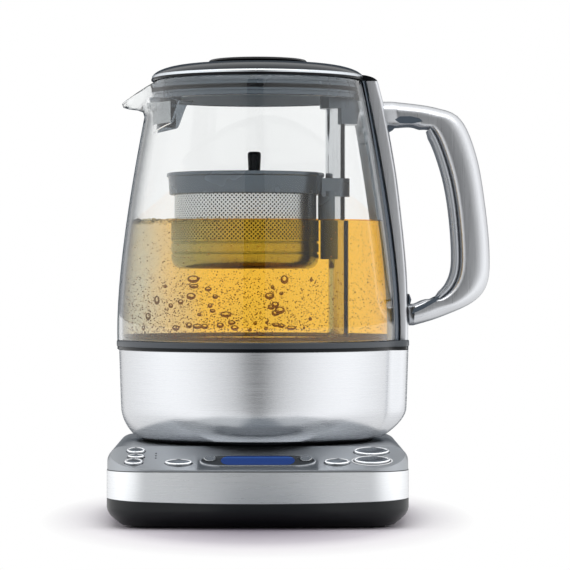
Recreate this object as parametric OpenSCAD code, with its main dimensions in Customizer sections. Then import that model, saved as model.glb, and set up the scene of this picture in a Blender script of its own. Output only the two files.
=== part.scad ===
// Automatic tea maker: a glass and steel jug with a motor-lifted basket, on a power base.
// Millimetres. +Z up, +X towards the handle, -Y towards the control panel.
// The origin is where the jug's axis meets the surface that the base stands on.

/* [Power base] */
// Width of the base
base_w = 165; // [155:1:185]
// Distance from the jug axis to the front of the base
base_front = 92; // [88:1:105]
// Distance from the jug axis to the back of the base
base_back = 82; // [80:1:95]
// Corner radius of the base in plan
base_corner = 22; // [14:1:30]
// How far the front bows out at its middle
front_bow = 3; // [1:0.5:6]
// Height of the deck that the jug stands on
deck_z = 43.5; // [42:0.5:52]
// Height of the panel's front edge
panel_front_z = 31.8; // [29:0.1:34]
// Depth of the sloping panel, front to back
panel_run = 27; // [25:0.5:29]
// Height of the seam between the black skirt and the shell
skirt_top_z = 13.2; // [11:0.1:16]
// Size of the skirt's lower bevel
skirt_bevel = 8.5; // [5:0.5:10]
// Rounding of the deck's outer edge
deck_edge = 8; // [4:0.5:10]
// Wall of the base casings
casing_wall = 2.4; // [2:0.1:3]
// Thickness of the steel fascia
fascia_t = 1.2; // [0.8:0.1:1.5]
// Height of the rubber foot ring below the skirt
foot_drop = 1.2; // [0.8:0.1:2]

/* [Control panel] */
// Length of the display frame
display_l = 63; // [58:1:66]
// Height of the display frame
display_h = 12.6; // [11:0.2:14]
// Length of the blue lens
lens_l = 39; // [34:1:42]
// Travel of every button
key_travel = 1; // [0.6:0.1:1.2]
// Gap round every button
key_gap = 0.35; // [0.3:0.05:0.5]
// How far the buttons stand out of the panel
key_proud = 1.3; // [1.2:0.1:2]

/* [Jug] */
// Outer radius of the glass at the seal band
glass_r_base = 80; // [78:0.5:82]
// Outer radius of the glass at its rim
glass_r_rim = 60.6; // [60:0.2:64]
// Height of the glass rim
rim_z = 247.5; // [244:0.5:256]
// Thickness of the glass
glass_t = 2.6; // [2:0.1:3]
// Height of the top of the steel cup
cup_top_z = 95; // [93:0.5:97]
// How far the steel cup's top stands inside the foot of the glass
cup_inset = 1; // [0.5:0.1:1.5]
// Height of the visible seal band
band_h = 5.4; // [4.5:0.1:7]
// Thickness of the cup's steel
cup_t = 1; // [0.8:0.1:1.5]
// How far the bump on the handle side stands out from the cup
bump_out = 6.9; // [5:0.1:9]
// How far the spout's lip stands out beyond the rim
spout_reach = 17; // [12:0.5:18]
// How far the spout's lip dips below the rim
spout_dip = 12; // [8:0.5:14]

/* [Handle] */
// Width of the handle, front to back
handle_w = 26; // [20:0.5:30]
// Width of the metal column up the glass
column_w = 23; // [18:0.5:26]
// Thickness of the handle's inner liner
liner_t = 3.4; // [2.5:0.1:4]

/* [Basket and post] */
// Distance from the jug axis to the post
post_x = 44.3; // [43.5:0.1:46]
// Outer radius of the post
post_r = 5.65; // [5.4:0.05:6]
// Wall of the post's tube
post_wall = 0.6; // [0.5:0.05:0.8]
// Outer radius of the strainer
strainer_r = 40.5; // [38:0.5:41]
// Width of the carrier ring outside the strainer
ring_wall = 4.4; // [3.5:0.1:5]
// Gap between the carrier ring and the post
ring_post_gap = 0.75; // [0.5:0.05:1.5]
// Height of the carrier ring's top with the basket as it stands
ring_top_z = 195.3; // [190:0.5:198]
// Height of the carrier ring's body
ring_h = 12.4; // [10:0.2:14]
// Height of the underside of the strainer
strainer_z = 140.5; // [139:0.5:145]
// Thickness of the strainer's sheet
strainer_t = 0.8; // [0.6:0.1:1]
// Diameter of the strainer's drawn holes
strainer_hole = 2.4; // [1.6:0.2:3]
// Lead of the screw that lifts the basket
screw_lead = 12; // [8:1:16]

/* [Lid] */
// Height of the lid's dome above the rim
dome_h = 10; // [7:0.5:14]
// Radius of the lid's knob
knob_r = 28; // [24:0.5:32]
// Height of the knob above the dome
knob_h = 2.5; // [2:0.1:6]
// Thickness of the lid's shell
lid_t = 2.2; // [1.8:0.1:2.5]
// Height of the collar below the rim
collar_h = 11; // [9:0.5:13]
// How far the spout filter hangs below the rim
filter_drop = 30; // [24:1:32]

/* [Hidden] */
$fn = 96;
// Clearances
run_gap = 0.35;          // between pieces that move past each other
seat_gap = 0.1;          // between pieces of one body that are fitted together
slip = 0.3;              // shaft in its guide
// Base
skirt_z = foot_drop;
bow_r = (pow(base_w / 2, 2) + pow(front_bow, 2)) / (2 * front_bow);
panel_drop = deck_z - panel_front_z;
panel_slope = atan2(panel_drop, panel_run);
panel_mid_y = -base_front + panel_run / 2;
panel_mid_z = (deck_z + panel_front_z) / 2;
panel_len = norm([panel_run, panel_drop]);
display_v = -3.4;        // the display's place up the slope
board_t = 1.6;
board_in = 13;           // from the base's sides to the control board
board_drop = 9;          // from the panel's face down to the top of the control board
switch_h = 2.6;
key_free = 0.25;         // between a pressed key and its switch
socket_r = 17;
socket_h = 6.5;
hub_r = 13;
plug_r = 19;             // the jug's half of the connector
CONTACT_RINGS = [3, 9];
contact_groove = 1.6;
gland_r = 5;
gland_z = skirt_top_z + 9;
foot_in = 13;            // from the base's sides to the foot ring
foot_w = 7;
screw_post_r = 4;
screw_in = 17;           // from the base's sides to its screws
SCREW_SITES = [for (x = [-1, 1], y = [2 * screw_in + 2 - base_front, 0, base_back - screw_in])
    [x * (base_w / 2 - screw_in), y]];
supply_l = 80;           // the power board
supply_w = 48;
supply_y = 24;
// Jug
jug_z = deck_z + 0.1;    // the jug's foot stands on the deck
foot_r = 65;
foot_h = 6;
cup_r = glass_r_base - cup_inset;
bump_x = cup_r + bump_out;
band_z = cup_top_z + 0.1;
band_proud = 0.4;        // how far the band stands out from glass and cup
floor_z = band_z + band_h;
glass_z = floor_z + 0.1;
plate_t = 1.5;
plate_r = glass_r_base - glass_t - 0.4;
glass_mid = [[glass_r_base + 0.9, glass_z + 31], [glass_r_rim + 13.6, rim_z - 66]];
cup_low = 15.5;          // height over which the cup curves in at its foot
column_t = 5.4;
// Handle
screw_shank = 1.7;
screw_head = 3;
screw_sunk = 2.8;
// Post and drive
ring_r = strainer_r + ring_wall;
basket_off = ring_r + ring_post_gap + post_r - post_x;
tube_r_in = post_r - post_wall;
tube_z = floor_z - 3;
tube_top_z = rim_z - 9.5;
screw_r = 1.7;
sled_r = tube_r_in - slip;
sled_h = 30;
sled_z = ring_top_z - 46;
motor_r = 12;
motor_h = 28;
motor_z = jug_z + foot_h + 6.5;
board_x = post_x + motor_r + 9.7;   // the driver board, in the bump beside the motor
shaft_z = motor_z + motor_h + 2.4;
lug_r = post_r + slip + 2.35;
saddle_r = post_r + slip + 4.05;
saddle_bottom_z = ring_top_z - 49.3;
lip_h = 2.4;
// Lid
collar_r = glass_r_rim - glass_t - 0.8;
collar_t = 2.6;
collar_z = rim_z - collar_h;
cap_r = glass_r_rim - 0.3;
cap_z = rim_z + 0.3;
knob_z = rim_z + dome_h;

CORNER_STEPS = 8;

// Keys: [name, x, v, length, height]; v runs up the slope of the panel
side = base_w / 2;
beside = display_l / 2 + 0.55 * (side - 30.4 - display_l / 2);   // between the display and the end keys
KEYS = [
    ["hour", 16.1 - side, 8.6, 10, 6.4],
    ["minute", 16.3 - side, 1.6, 9, 4.2],
    ["clock", 15.3 - side, -4.8, 10, 6.4],
    ["timer", -beside, -5.6, 14.8, 6.5],
    ["select_left", -lens_l / 2 - 6.5, -1.2, 6.6, 6.6],
    ["select_right", lens_l / 2 + 6.5, -1.2, 6.6, 6.6],
    ["warm", beside, -5, 14, 6.8],
    ["brew", side - 20.5, 7.6, 19.4, 9],
    ["start", side - 20.5, -3, 19.8, 9]
];
KEY_COLOURS = ["silver", "silver", "silver", "silver", "gainsboro",
    "gainsboro", "silver", "silver", "lightgrey"];

// ---- Helpers ----

// A cubic Bezier through four [radius, height] points, in n steps
function bezier(p, n) = [for (i = [0 : n]) let (t = i / n, u = 1 - t)
    u * u * u * p[0] + 3 * u * u * t * p[1] + 3 * u * t * t * p[2] + t * t * t * p[3]];

// A smooth curve through chosen points, n steps to each span
function spline(p, n) = [for (i = [0 : len(p) - 2], k = [0 : i == len(p) - 2 ? n : n - 1])
    let (t = k / n, a = p[max(i - 1, 0)], b = p[i], c = p[i + 1], d = p[min(i + 2, len(p) - 1)])
    0.5 * (2 * b + (c - a) * t + (2 * a - 5 * b + 4 * c - d) * t * t
        + (3 * b - a - 3 * c + d) * t * t * t)];

function smooth(t) = let (k = min(1, max(0, t))) k * k * (3 - 2 * k);

// A closed skin over rings of equal length. With loop, the last ring joins the first.
module skin(rings, loop = false) {
    n = len(rings[0]);
    m = len(rings);
    walls = [for (i = [0 : loop ? m - 1 : m - 2], j = [0 : n - 1], k = [0, 1])
        let (a = i * n + j, b = i * n + (j + 1) % n,
            c = ((i + 1) % m) * n + (j + 1) % n, d = ((i + 1) % m) * n + j)
        k == 0 ? [a, b, c] : [a, c, d]];
    caps = loop ? [] : [[for (j = [n - 1 : -1 : 0]) j], [for (j = [0 : n - 1]) (m - 1) * n + j]];
    polyhedron([for (r = rings, p = r) p], [for (f = concat(walls, caps))
        [for (i = [len(f) - 1 : -1 : 0]) f[i]]]);
}

module pill(l, h) {
    r = h / 2;
    union() {
        if (l > h) translate([-(l - h) / 2, -r]) square([l - h, h]);
        translate([(l - h) / 2, 0]) circle(r = r, $fn = 48);
        translate([-(l - h) / 2, 0]) circle(r = r, $fn = 48);
    }
}

// The outline of the base in plan at a height, drawn in by inset: bowed front, then the corners
function bow_y(x, inset) = bow_r - base_front - sqrt(pow(bow_r - inset, 2) - x * x);
function corner_arc(x, y, r, from, first, last) = [for (i = [first : last])
    let (a = from + 90 * i / CORNER_STEPS) [x + r * cos(a), y + r * sin(a)]];
function plan_points(inset) = let (r = max(base_corner - inset, 1), x = base_w / 2 - inset - r,
    f = bow_y(x, inset) + r, b = base_back - inset - r, n = CORNER_STEPS)
    concat([for (i = [-4 : 4]) [x * i / 4, bow_y(x * i / 4, inset)]], corner_arc(x, f, r, -90, 1, n),
        corner_arc(x, b, r, 0, 0, n), corner_arc(-x, b, r, 90, 0, n), corner_arc(-x, f, r, 180, 0, n - 1));
function plan_ring(inset, z) = [for (p = plan_points(inset)) [p[0], p[1], z]];

module base_plan(inset = 0) {
    polygon(plan_points(inset));
}

// The base's solid above the skirt, drawn in by inset, with its rounded deck edge
module shell_form(inset, z0, edge) {
    top = deck_z - inset;
    difference() {
        skin(concat([plan_ring(inset, z0)], [for (a = [0 : 22.5 : 90])
            plan_ring(inset + edge * (1 - cos(a)), top - edge + edge * sin(a))]));
        on_panel() translate([-base_w, -base_front, -inset]) cube([2 * base_w, 2 * base_front, 60]);
    }
}

// Places its children on the sloping panel: x across, y up the slope, z out of the face
module on_panel() {
    translate([0, panel_mid_y, panel_mid_z]) rotate([panel_slope, 0, 0]) children();
}

// ---- Power base ----

module key_holes() {
    for (k = KEYS)
        on_panel() translate([k[1], k[2], -board_drop])
            linear_extrude(board_drop + 5) pill(k[3] + 2 * key_gap, k[4] + 2 * key_gap);
}

module deck_shell() {
    color("#b9bcc0") difference() {
        union() {
            difference() {
                shell_form(0, skirt_top_z, deck_edge);
                shell_form(casing_wall, skirt_top_z - 2, deck_edge - 1);
                key_holes();
                on_panel() translate([0, display_v, -20])
                    linear_extrude(40) pill(display_l - 3, display_h - 3);
                on_panel() translate([0, display_v, -1])
                    linear_extrude(10) pill(display_l + 2 * seat_gap, display_h + 2 * seat_gap);
                translate([0, 0, deck_z - 10]) cylinder(r = socket_r + seat_gap, h = 20);
                translate([0, base_back + 5, gland_z]) rotate([90, 0, 0]) cylinder(r = gland_r, h = 20);
            }
            intersection() {
                screw_posts(skirt_top_z, deck_z, screw_post_r);
                shell_form(casing_wall - 0.5, skirt_top_z, deck_edge - 1);
            }
        }
        fascia_band(seat_gap, 1);
        screw_posts(0, skirt_top_z + 12, 1.3);
    }
}

module screw_posts(z0, z1, r) {
    for (p = SCREW_SITES)
        translate([p[0], p[1], z0]) cylinder(r = r, h = z1 - z0, $fn = 32);
}

// The band's own space on the front of the shell, let into it by its thickness
module fascia_band(gap, over) {
    side_y = -base_front + base_corner + 12;
    difference() {
        translate([0, 0, skirt_top_z - over])
            linear_extrude(panel_front_z - fascia_t - skirt_top_z + gap + over) difference() {
                base_plan(over > 0 ? -1 : 0);
                base_plan(fascia_t + gap);
            }
        translate([-base_w, side_y + gap, 0]) cube([2 * base_w, 2 * base_back, deck_z]);
    }
}

module front_fascia() {
    color("#d5d7d9") fascia_band(0, 0);
}

module base_skirt() {
    rim = skirt_top_z - seat_gap;
    color("#141a1e") difference() {
        skin([plan_ring(skirt_bevel, skirt_z), plan_ring(skirt_bevel * 0.35, skirt_z + skirt_bevel * 0.3),
            plan_ring(0, skirt_z + skirt_bevel), plan_ring(0, rim)]);
        skin([plan_ring(skirt_bevel + casing_wall, skirt_z + casing_wall),
            plan_ring(skirt_bevel * 0.35 + casing_wall, skirt_z + skirt_bevel * 0.3 + casing_wall),
            plan_ring(casing_wall, skirt_z + skirt_bevel + casing_wall), plan_ring(casing_wall, rim + 1)]);
        foot_groove(seat_gap);
        screw_posts(0, rim, 1.8);
        screw_posts(0, skirt_z + 3, 3.2);
    }
    color("#141a1e") difference() {
        screw_posts(skirt_z + casing_wall - 0.3, rim, screw_post_r);
        screw_posts(0, skirt_top_z + 1, 1.8);
        screw_posts(0, skirt_z + 3, 3.2);
    }
}

module foot_groove(gap) {
    translate([0, 0, -1]) linear_extrude(skirt_z + 2) difference() {
        base_plan(foot_in - gap);
        base_plan(foot_in + foot_w + gap);
    }
}

module foot_ring() {
    color("#1d1f21") linear_extrude(skirt_z + 1 - seat_gap) difference() {
        base_plan(foot_in);
        base_plan(foot_in + foot_w);
    }
}

module base_screws() {
    color("#8a8d90") for (p = SCREW_SITES) translate([p[0], p[1], skirt_z]) {
        translate([0, 0, 3]) cylinder(r = 1.2, h = skirt_top_z + 7 - skirt_z, $fn = 24);
        translate([0, 0, 0.9]) cylinder(r = 2.9, h = 2.1, $fn = 32);
    }
}

module display_frame() {
    color("#26292c") on_panel() translate([0, display_v, 0]) difference() {
        translate([0, 0, -1 + seat_gap]) linear_extrude(1.5) pill(display_l, display_h);
        translate([0, 0, -5])
            linear_extrude(10) pill(lens_l + 2 * seat_gap, display_h - 4 + 2 * seat_gap);
        for (k = [KEYS[4], KEYS[5]])
            translate([k[1], k[2] - display_v, -5])
                linear_extrude(10) pill(k[3] + 2 * key_gap, k[4] + 2 * key_gap);
    }
}

module display_lens() {
    color("#2a4aa8") on_panel() translate([0, display_v, -1.4])
        linear_extrude(1.7) pill(lens_l, display_h - 4);
}

module display_module() {
    color("#3d4246") on_panel() translate([-lens_l / 2 + 1, display_v - display_h / 2 + 2.4, -board_drop])
        cube([lens_l - 2, display_h - 4.8, board_drop - 1.5]);
}

module control_board() {
    color("#1f5c3a") on_panel()
        translate([-base_w / 2 + board_in, -panel_len / 2 + 5.5, -board_drop - board_t])
            cube([base_w - 2 * board_in, panel_len - 8, board_t]);
    leg_h = panel_mid_z - board_drop / cos(panel_slope) - skirt_z - casing_wall - 3.1;
    color("#1f5c3a") for (x = [board_in + 3 - side, side - board_in - 9])
        translate([x, panel_mid_y + 1, skirt_z + casing_wall]) cube([6, 6, leg_h]);
}

module key_switches() {
    color("#55585b") for (k = KEYS)
        on_panel() translate([k[1] - 2, k[2] - 2, -board_drop]) cube([4, 4, switch_h]);
}

// One button: its face stands out of the panel, its plunger reaches nearly to its switch
module key(i) {
    k = KEYS[i];
    plunger = board_drop - switch_h - key_travel - key_free;
    color(KEY_COLOURS[i]) on_panel() translate([k[1], k[2], 0]) {
        translate([0, 0, -casing_wall - 1])
            linear_extrude(casing_wall + key_proud + 0.8) pill(k[3], k[4]);
        translate([0, 0, key_proud - 0.2]) linear_extrude(0.6) pill(k[3] - 0.9, k[4] - 0.9);
        translate([0, 0, -plunger]) cylinder(r = 1.3, h = plunger, $fn = 32);
    }
}

module power_board() {
    translate([0, supply_y, skirt_z + casing_wall]) {
        color("#2c6a45") translate([-supply_l / 2, 0, 3]) cube([supply_l, supply_w, board_t]);
        // Transformer, relay and capacitor block: [x, y, length, width, height]
        color("#2b2e31") for (b = [[-34, 4, 20, 16, 13], [-6, 4, 14, 12, 9], [16, 6, 18, 24, 12]])
            translate([b[0], b[1], 3 + board_t]) cube([b[2], b[3], b[4]]);
        color("#2c6a45") for (x = [4 - supply_l / 2, supply_l / 2 - 4], y = [4, supply_w - 4])
            translate([x, y, 0]) cylinder(r = 2, h = 3.2, $fn = 24);
    }
}

// Round connector: a flange under the deck and a hub that goes up into the jug
module base_socket() {
    color("#202326") difference() {
        union() {
            translate([0, 0, deck_z - casing_wall - 3]) cylinder(r = socket_r + 6, h = 3 - seat_gap);
            translate([0, 0, deck_z - casing_wall - 1]) cylinder(r = socket_r, h = casing_wall + 1);
            translate([0, 0, deck_z - 0.5]) cylinder(r = hub_r, h = socket_h + 0.5);
        }
        for (r = CONTACT_RINGS)
            translate([0, 0, deck_z - 4]) rotate_extrude() translate([r, 0]) square([contact_groove, 20]);
    }
    color("#202326") for (a = [45 : 90 : 315]) rotate(a)
        translate([socket_r + 3, 0, skirt_z + casing_wall])
            cylinder(r = 2, h = deck_z - 2 * casing_wall - skirt_z - 2.9, $fn = 24);
}

module socket_contacts() {
    color("#c8963c") for (r = CONTACT_RINGS)
        translate([0, 0, deck_z - 4]) rotate_extrude() translate([r + 0.1, 0]) square([0.9, 5]);
}

module cord_gland() {
    color("#1d1f21") translate([0, base_back + 0.6, gland_z]) rotate([90, 0, 0]) difference() {
        union() {
            cylinder(r = gland_r - seat_gap, h = casing_wall + 3);
            translate([0, 0, 0.6 + casing_wall + 0.15]) cylinder(r = gland_r + 0.4, h = 2);
        }
        translate([0, 0, -1]) cylinder(r = 3.4, h = 12);
    }
}

// ---- Jug ----

module jug_foot() {
    color("#171b1e") difference() {
        union() {
            translate([0, 0, jug_z]) cylinder(r1 = foot_r - 3, r2 = foot_r - 0.6, h = foot_h * 0.4);
            translate([0, 0, jug_z + foot_h * 0.4]) cylinder(r = foot_r - 0.6, h = foot_h * 0.6);
        }
        translate([0, 0, jug_z - 1]) cylinder(r = plug_r + seat_gap, h = foot_h + 2);
        translate([0, 0, jug_z + 2]) difference() {
            cylinder(r = foot_r - 6, h = foot_h);
            translate([0, 0, -1]) cylinder(r = plug_r + 3, h = foot_h + 2);
        }
    }
}

// The jug's half of the connector: a cup over the hub, with ring blades in its grooves
module jug_plug() {
    top = deck_z + socket_h + 1;
    color("#2a2d30") difference() {
        union() {
            translate([0, 0, jug_z + 0.4]) cylinder(r = plug_r, h = top + 3 - jug_z - 0.4);
            translate([0, 0, jug_z + foot_h + 1.5]) cylinder(r = plug_r + 4, h = 2);
        }
        translate([0, 0, jug_z - 1]) cylinder(r = hub_r + 0.6, h = top - jug_z + 1);
    }
    color("#c8963c") for (r = CONTACT_RINGS)
        translate([0, 0, deck_z + 2]) rotate_extrude()
            translate([r + 0.5, 0]) square([0.6, top - deck_z - 1.5]);
}

// Radius of the cup at a height above its foot
function cup_radius(h) = h > cup_low + 4 ? cup_r - 1.2 + 1.2 * (h - cup_low) / (cup_top_z - jug_z - cup_low)
    : foot_r + (cup_r - 1.1 - foot_r) * pow(sin(min(90, 90 * h / (cup_low + 4))), 0.62);

// How much of the bump stands at an angle from the handle
function bump_share(a) = smooth((20 - abs(a)) / 6.5);

// Angles round the cup, closer together at the bump
CUP_ANGLES = [for (r = [[0 : 2.5 : 25], [30 : 6 : 330], [335 : 2.5 : 357.5]], a = r) a];

// One ring of the cup; low is the share of the bump there
function cup_ring(h, inset) = let (r = cup_radius(h) - inset,
    low = smooth((h + 6) / 24), b = r + (bump_x - cup_r - 0.4) * low + 0.4 * low)
    [for (a = CUP_ANGLES) let (c = a > 180 ? a - 360 : a, s = r + (b - r) * bump_share(c))
        [s * cos(a), s * sin(a), jug_z + h]];

CUP_HEIGHTS = [0.8, 2, 4, 7, 11, 15, 19.5, 26, cup_top_z - jug_z];

module steel_cup() {
    color("#c4c7ca") skin(concat([for (h = CUP_HEIGHTS) cup_ring(h, 0)],
        [for (i = [len(CUP_HEIGHTS) - 1 : -1 : 0]) cup_ring(CUP_HEIGHTS[i], cup_t)]), true);
    color("#c4c7ca") translate([0, 0, jug_z + foot_h + 0.2]) difference() {
        cylinder(r = cup_radius(foot_h + 0.2) - cup_t * 0.5, h = 1.2);
        translate([0, 0, -1]) cylinder(r = plug_r + 0.3, h = 4);
    }
}

// One ring of the seal band: it stands under the glass and follows the cup's edge, bump and all
function band_ring(z, proud) = [for (a = CUP_ANGLES) let (k = bump_share(a > 180 ? a - 360 : a),
    r = (1 - k) * glass_r_base + k * bump_x + proud) [r * cos(a), r * sin(a), z]];

module seal_band() {
    r = plate_r + run_gap;
    inner = function (z) [for (a = CUP_ANGLES) [r * cos(a), r * sin(a), z]];
    color("#3f444a") skin([band_ring(band_z, -0.6), band_ring(band_z + 1, band_proud),
        band_ring(floor_z - 1, band_proud), band_ring(floor_z, 0), inner(floor_z), inner(band_z)], true);
}

GLASS_LINE = bezier([[glass_r_base, glass_z], glass_mid[0], glass_mid[1], [glass_r_rim, rim_z]], 12);

// A ring of the glass: near the rim, the side away from the handle is drawn out into the spout
function glass_ring(p, inset) = [for (a = [0 : 5 : 355])
    let (away = abs(abs(a > 180 ? a - 360 : a) - 180),
        k = smooth((p[1] - rim_z + 20) / 20), bell = exp(-pow(away / 13, 2)),
        r = p[0] - inset + spout_reach * k * bell)
    [r * cos(a), r * sin(a), p[1] - spout_dip * k * bell]];

GLASS_TOP = [for (i = [0 : 5]) let (z = rim_z - 20 + 4 * i)
    [lookup(z, [for (p = GLASS_LINE) [p[1], p[0]]]), z]];
GLASS_RINGS = concat([for (p = GLASS_LINE) if (p[1] < rim_z - 22) p], GLASS_TOP);

module glass_wall() {
    n = len(GLASS_RINGS);
    color("#dfe6e8", 0.35) skin(concat([for (p = GLASS_RINGS) glass_ring(p, 0)],
        [for (i = [n - 1 : -1 : 0]) glass_ring(GLASS_RINGS[i], glass_t)]), true);
}

// Stainless floor of the vessel, with a rim that the seal band goes round
module heater_plate() {
    color("#b7babd") difference() {
        union() {
            translate([0, 0, floor_z - plate_t]) cylinder(r = plate_r, h = plate_t);
            translate([0, 0, band_z - 2]) difference() {
                cylinder(r = plate_r, h = band_h + 2);
                translate([0, 0, -1]) cylinder(r = plate_r - 1.5, h = 40);
            }
            translate([0, 0, band_z - 2]) difference() {
                cylinder(r = cup_r - cup_t - 0.3, h = 1.9);
                translate([0, 0, -1]) cylinder(r = plate_r - 1, h = 4);
            }
        }
        translate([post_x, 0, floor_z - 10]) cylinder(r = post_r + 0.1, h = 20);
    }
}

module heating_element() {
    color("#6a6d70") translate([0, 0, floor_z - plate_t - 3.1]) {
        rotate([0, 0, 20]) rotate_extrude(angle = 320) translate([31, 0]) circle(r = 3, $fn = 32);
        for (a = [20, 340]) rotate(a) translate([31, 0, -11]) cylinder(r = 2, h = 11, $fn = 24);
    }
}

module temperature_probe() {
    color("#8f9396") translate([0, -18, floor_z - plate_t - 8.1]) {
        translate([0, 0, 2]) cylinder(r = 7, h = 6);
        cylinder(r = 3, h = 2.5);
    }
}

module jug_board() {
    floor_in = jug_z + foot_h + 1.5;
    color("#2c6a45") translate([board_x, -12, jug_z + 24]) cube([board_t, 24, 20]);
    color("#2b2e31") translate([board_x - 4, -7, jug_z + 30]) cube([4.2, 9, 9]);
    color("#2c6a45") for (y = [-12, 8])
        translate([board_x, y, floor_in]) cube([board_t, 4, jug_z + 25 - floor_in]);
}

module post_tube() {
    color("#c9ccce") translate([post_x, 0, tube_z]) difference() {
        union() {
            cylinder(r = post_r, h = tube_top_z - tube_z);
            translate([0, 0, -1.5]) cylinder(r = post_r + 2.5, h = 3 - plate_t - 0.1 + 1.5);
        }
        translate([0, 0, -5]) cylinder(r = tube_r_in, h = 300);
    }
}

module post_cap() {
    color("#3b3f45") translate([post_x, 0, tube_top_z - 4]) {
        cylinder(r = tube_r_in - 0.05, h = 4.1);
        translate([0, 0, 4.1]) cylinder(r1 = post_r, r2 = post_r - 0.8, h = 1.5);
    }
}

module lift_motor() {
    color("#7c8084") translate([post_x, 0, motor_z]) {
        cylinder(r = motor_r, h = motor_h);
        translate([0, 0, motor_h - 0.1]) cylinder(r = 4, h = 2);
        translate([0, 0, motor_h + 1.8]) cylinder(r = 1, h = 4);
    }
    color("#171b1e") for (a = [60, 180, 300])
        translate([post_x, 0, jug_z + foot_h + 1.5]) rotate(a) translate([motor_r - 3, 0, 0])
            cylinder(r = 2, h = motor_z - jug_z - foot_h - 1.5, $fn = 24);
}
module shaft_coupling() {
    color("#b08d3c") translate([post_x, 0, shaft_z]) difference() {
        cylinder(r = 4.2, h = tube_z - 2.2 - shaft_z);
        translate([0, 0, -1]) cylinder(r = 1.06, h = 5.2);
        translate([0, 0, tube_z - 2.2 - shaft_z - 4]) cylinder(r = 1.35, h = 6);
    }
}

module lead_screw() {
    foot = tube_z - 2.2 - 4;
    thread_z = tube_z + 2;
    turns = (tube_top_z - 6 - thread_z) / screw_lead;
    color("#9a9da0") translate([post_x, 0, 0]) {
        translate([0, 0, foot + 0.1]) cylinder(r = 1.3, h = tube_top_z - 5 - foot, $fn = 24);
        translate([0, 0, thread_z]) linear_extrude(turns * screw_lead,
            twist = -360 * turns, slices = round(turns * 12), $fn = 10)
            translate([0.45, 0]) circle(r = 1.35);
    }
}

module magnet_sled() {
    color("#4a4e52") translate([post_x, 0, sled_z]) difference() {
        cylinder(r = sled_r, h = sled_h);
        translate([0, 0, -1]) cylinder(r = screw_r + 0.45, h = sled_h + 2);
        translate([0, 0, 4]) difference() {
            cylinder(r = sled_r + 1, h = sled_h - 8);
            translate([0, 0, -1]) cylinder(r = sled_r - 1.6, h = sled_h);
        }
    }
}

module sled_magnet() {
    color("#b9bcbf") translate([post_x, 0, sled_z + 4.1]) difference() {
        cylinder(r = sled_r - 0.1, h = sled_h - 8.2);
        translate([0, 0, -1]) cylinder(r = sled_r - 1.5, h = sled_h);
    }
}

// ---- Handle ----

// The column's inner face at a height, and the line that the handle is set out from
function column_x(z) = lookup(z, [for (p = GLASS_LINE) [p[1], p[0]]]) + 0.25;
function column_out(z) = lookup(z, [for (p = GLASS_LINE) [p[1], p[0]]]) + column_t;

module handle_column() {
    z0 = band_z + band_h + 0.1;
    zs = concat([z0], [for (p = GLASS_LINE) if (p[1] > z0 + 3 && p[1] < rim_z - 3) p[1]], [rim_z - 0.2]);
    color("#c8cacd") difference() {
        skin([for (z = zs) let (x0 = column_x(z), x1 = x0 + column_t, w = column_w / 2)
            [[x0, w, z], [x0, -w, z], [x1 - 1.8, -w, z], [x1 - 0.6, -w + 0.8, z], [x1, -w + 2.4, z],
                [x1, w - 2.4, z], [x1 - 0.6, w - 0.8, z], [x1 - 1.8, w, z]]]);
        for (z = SCREW_HEIGHTS) translate([column_x(z) - 3, 0, z]) rotate([0, 90, 0]) {
            cylinder(r = screw_shank + 0.1, h = 20, $fn = 32);
            cylinder(r = screw_head + 0.2, h = 3 + screw_sunk, $fn = 32);
        }
    }
}

// A smooth line of the handle through points given as [out from the column, down from the rim]
function handle_line(p) = spline([for (q = p) [column_out(rim_z - q[1]) + q[0], rim_z - q[1]]], 4);

// Outer and inner lines of the handle, from its top arm round to its lower arm
HANDLE_OUT = handle_line([[8.2, 11.3], [31.4, 14.5], [45.3, 21.3], [50.6, 42.9], [50.8, 73],
    [49.5, 99.5], [46.2, 115.9], [36.9, 126], [17.6, 134.5], [3.1, 138.9]]);
HANDLE_IN = handle_line([[8.3, 26.1], [18.2, 26.1], [25.1, 32.3], [28.9, 51.7], [29.6, 73],
    [28.2, 97.5], [25.5, 110.5], [18.8, 119.5], [6.7, 125.3], [3.9, 126.5]]);

SCREW_HEIGHTS = [HANDLE_OUT[0][1] - 7.4, HANDLE_OUT[len(HANDLE_OUT) - 1][1] + 6.2];

// A D-shaped ring between two points of the handle's lines
function handle_ring(o, i, w, n) = let (m = (o + i) / 2, h = (o - i) / 2)
    [for (a = [0 : 360 / n : 359.9]) let (c = cos(a), s = sin(a),
        u = sign(c) * pow(abs(c), c > 0 ? 0.8 : 0.35), v = sign(s) * pow(abs(s), c > 0 ? 0.8 : 0.45))
        [m[0] + h[0] * u, w / 2 * v, m[1] + h[1] * u]];

// The share of the liner at a step along the handle
function liner_share(i) = smooth((i - 5) / 2) * smooth((len(HANDLE_IN) - 6 - i) / 2);

// The foot by which an arm of the handle meets the column
function handle_foot(k, o, out) = let (x = column_out(k[1]) + 0.3)
    handle_ring([x + out, o[1]], [x, k[1]], column_w - 3, 20);

// The unit step across the handle from its inner to its outer line
function across(i) = (HANDLE_OUT[i] - HANDLE_IN[i]) / norm(HANDLE_OUT[i] - HANDLE_IN[i]);

module handle_shell() {
    n = len(HANDLE_IN);
    color("#bfc2c5") difference() {
        skin(concat([handle_foot(HANDLE_IN[0], HANDLE_OUT[0], -2.5)],
            [for (i = [0 : n - 1]) handle_ring(HANDLE_OUT[i],
                HANDLE_IN[i] + across(i) * (liner_t + 0.2) * liner_share(i), handle_w, 20)],
            [handle_foot(HANDLE_IN[n - 1], HANDLE_OUT[n - 1], 1)]));
        for (z = SCREW_HEIGHTS)
            translate([column_x(z), 0, z]) rotate([0, 90, 0])
                cylinder(r = screw_shank + 0.1, h = 13, $fn = 32);
    }
}

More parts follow.
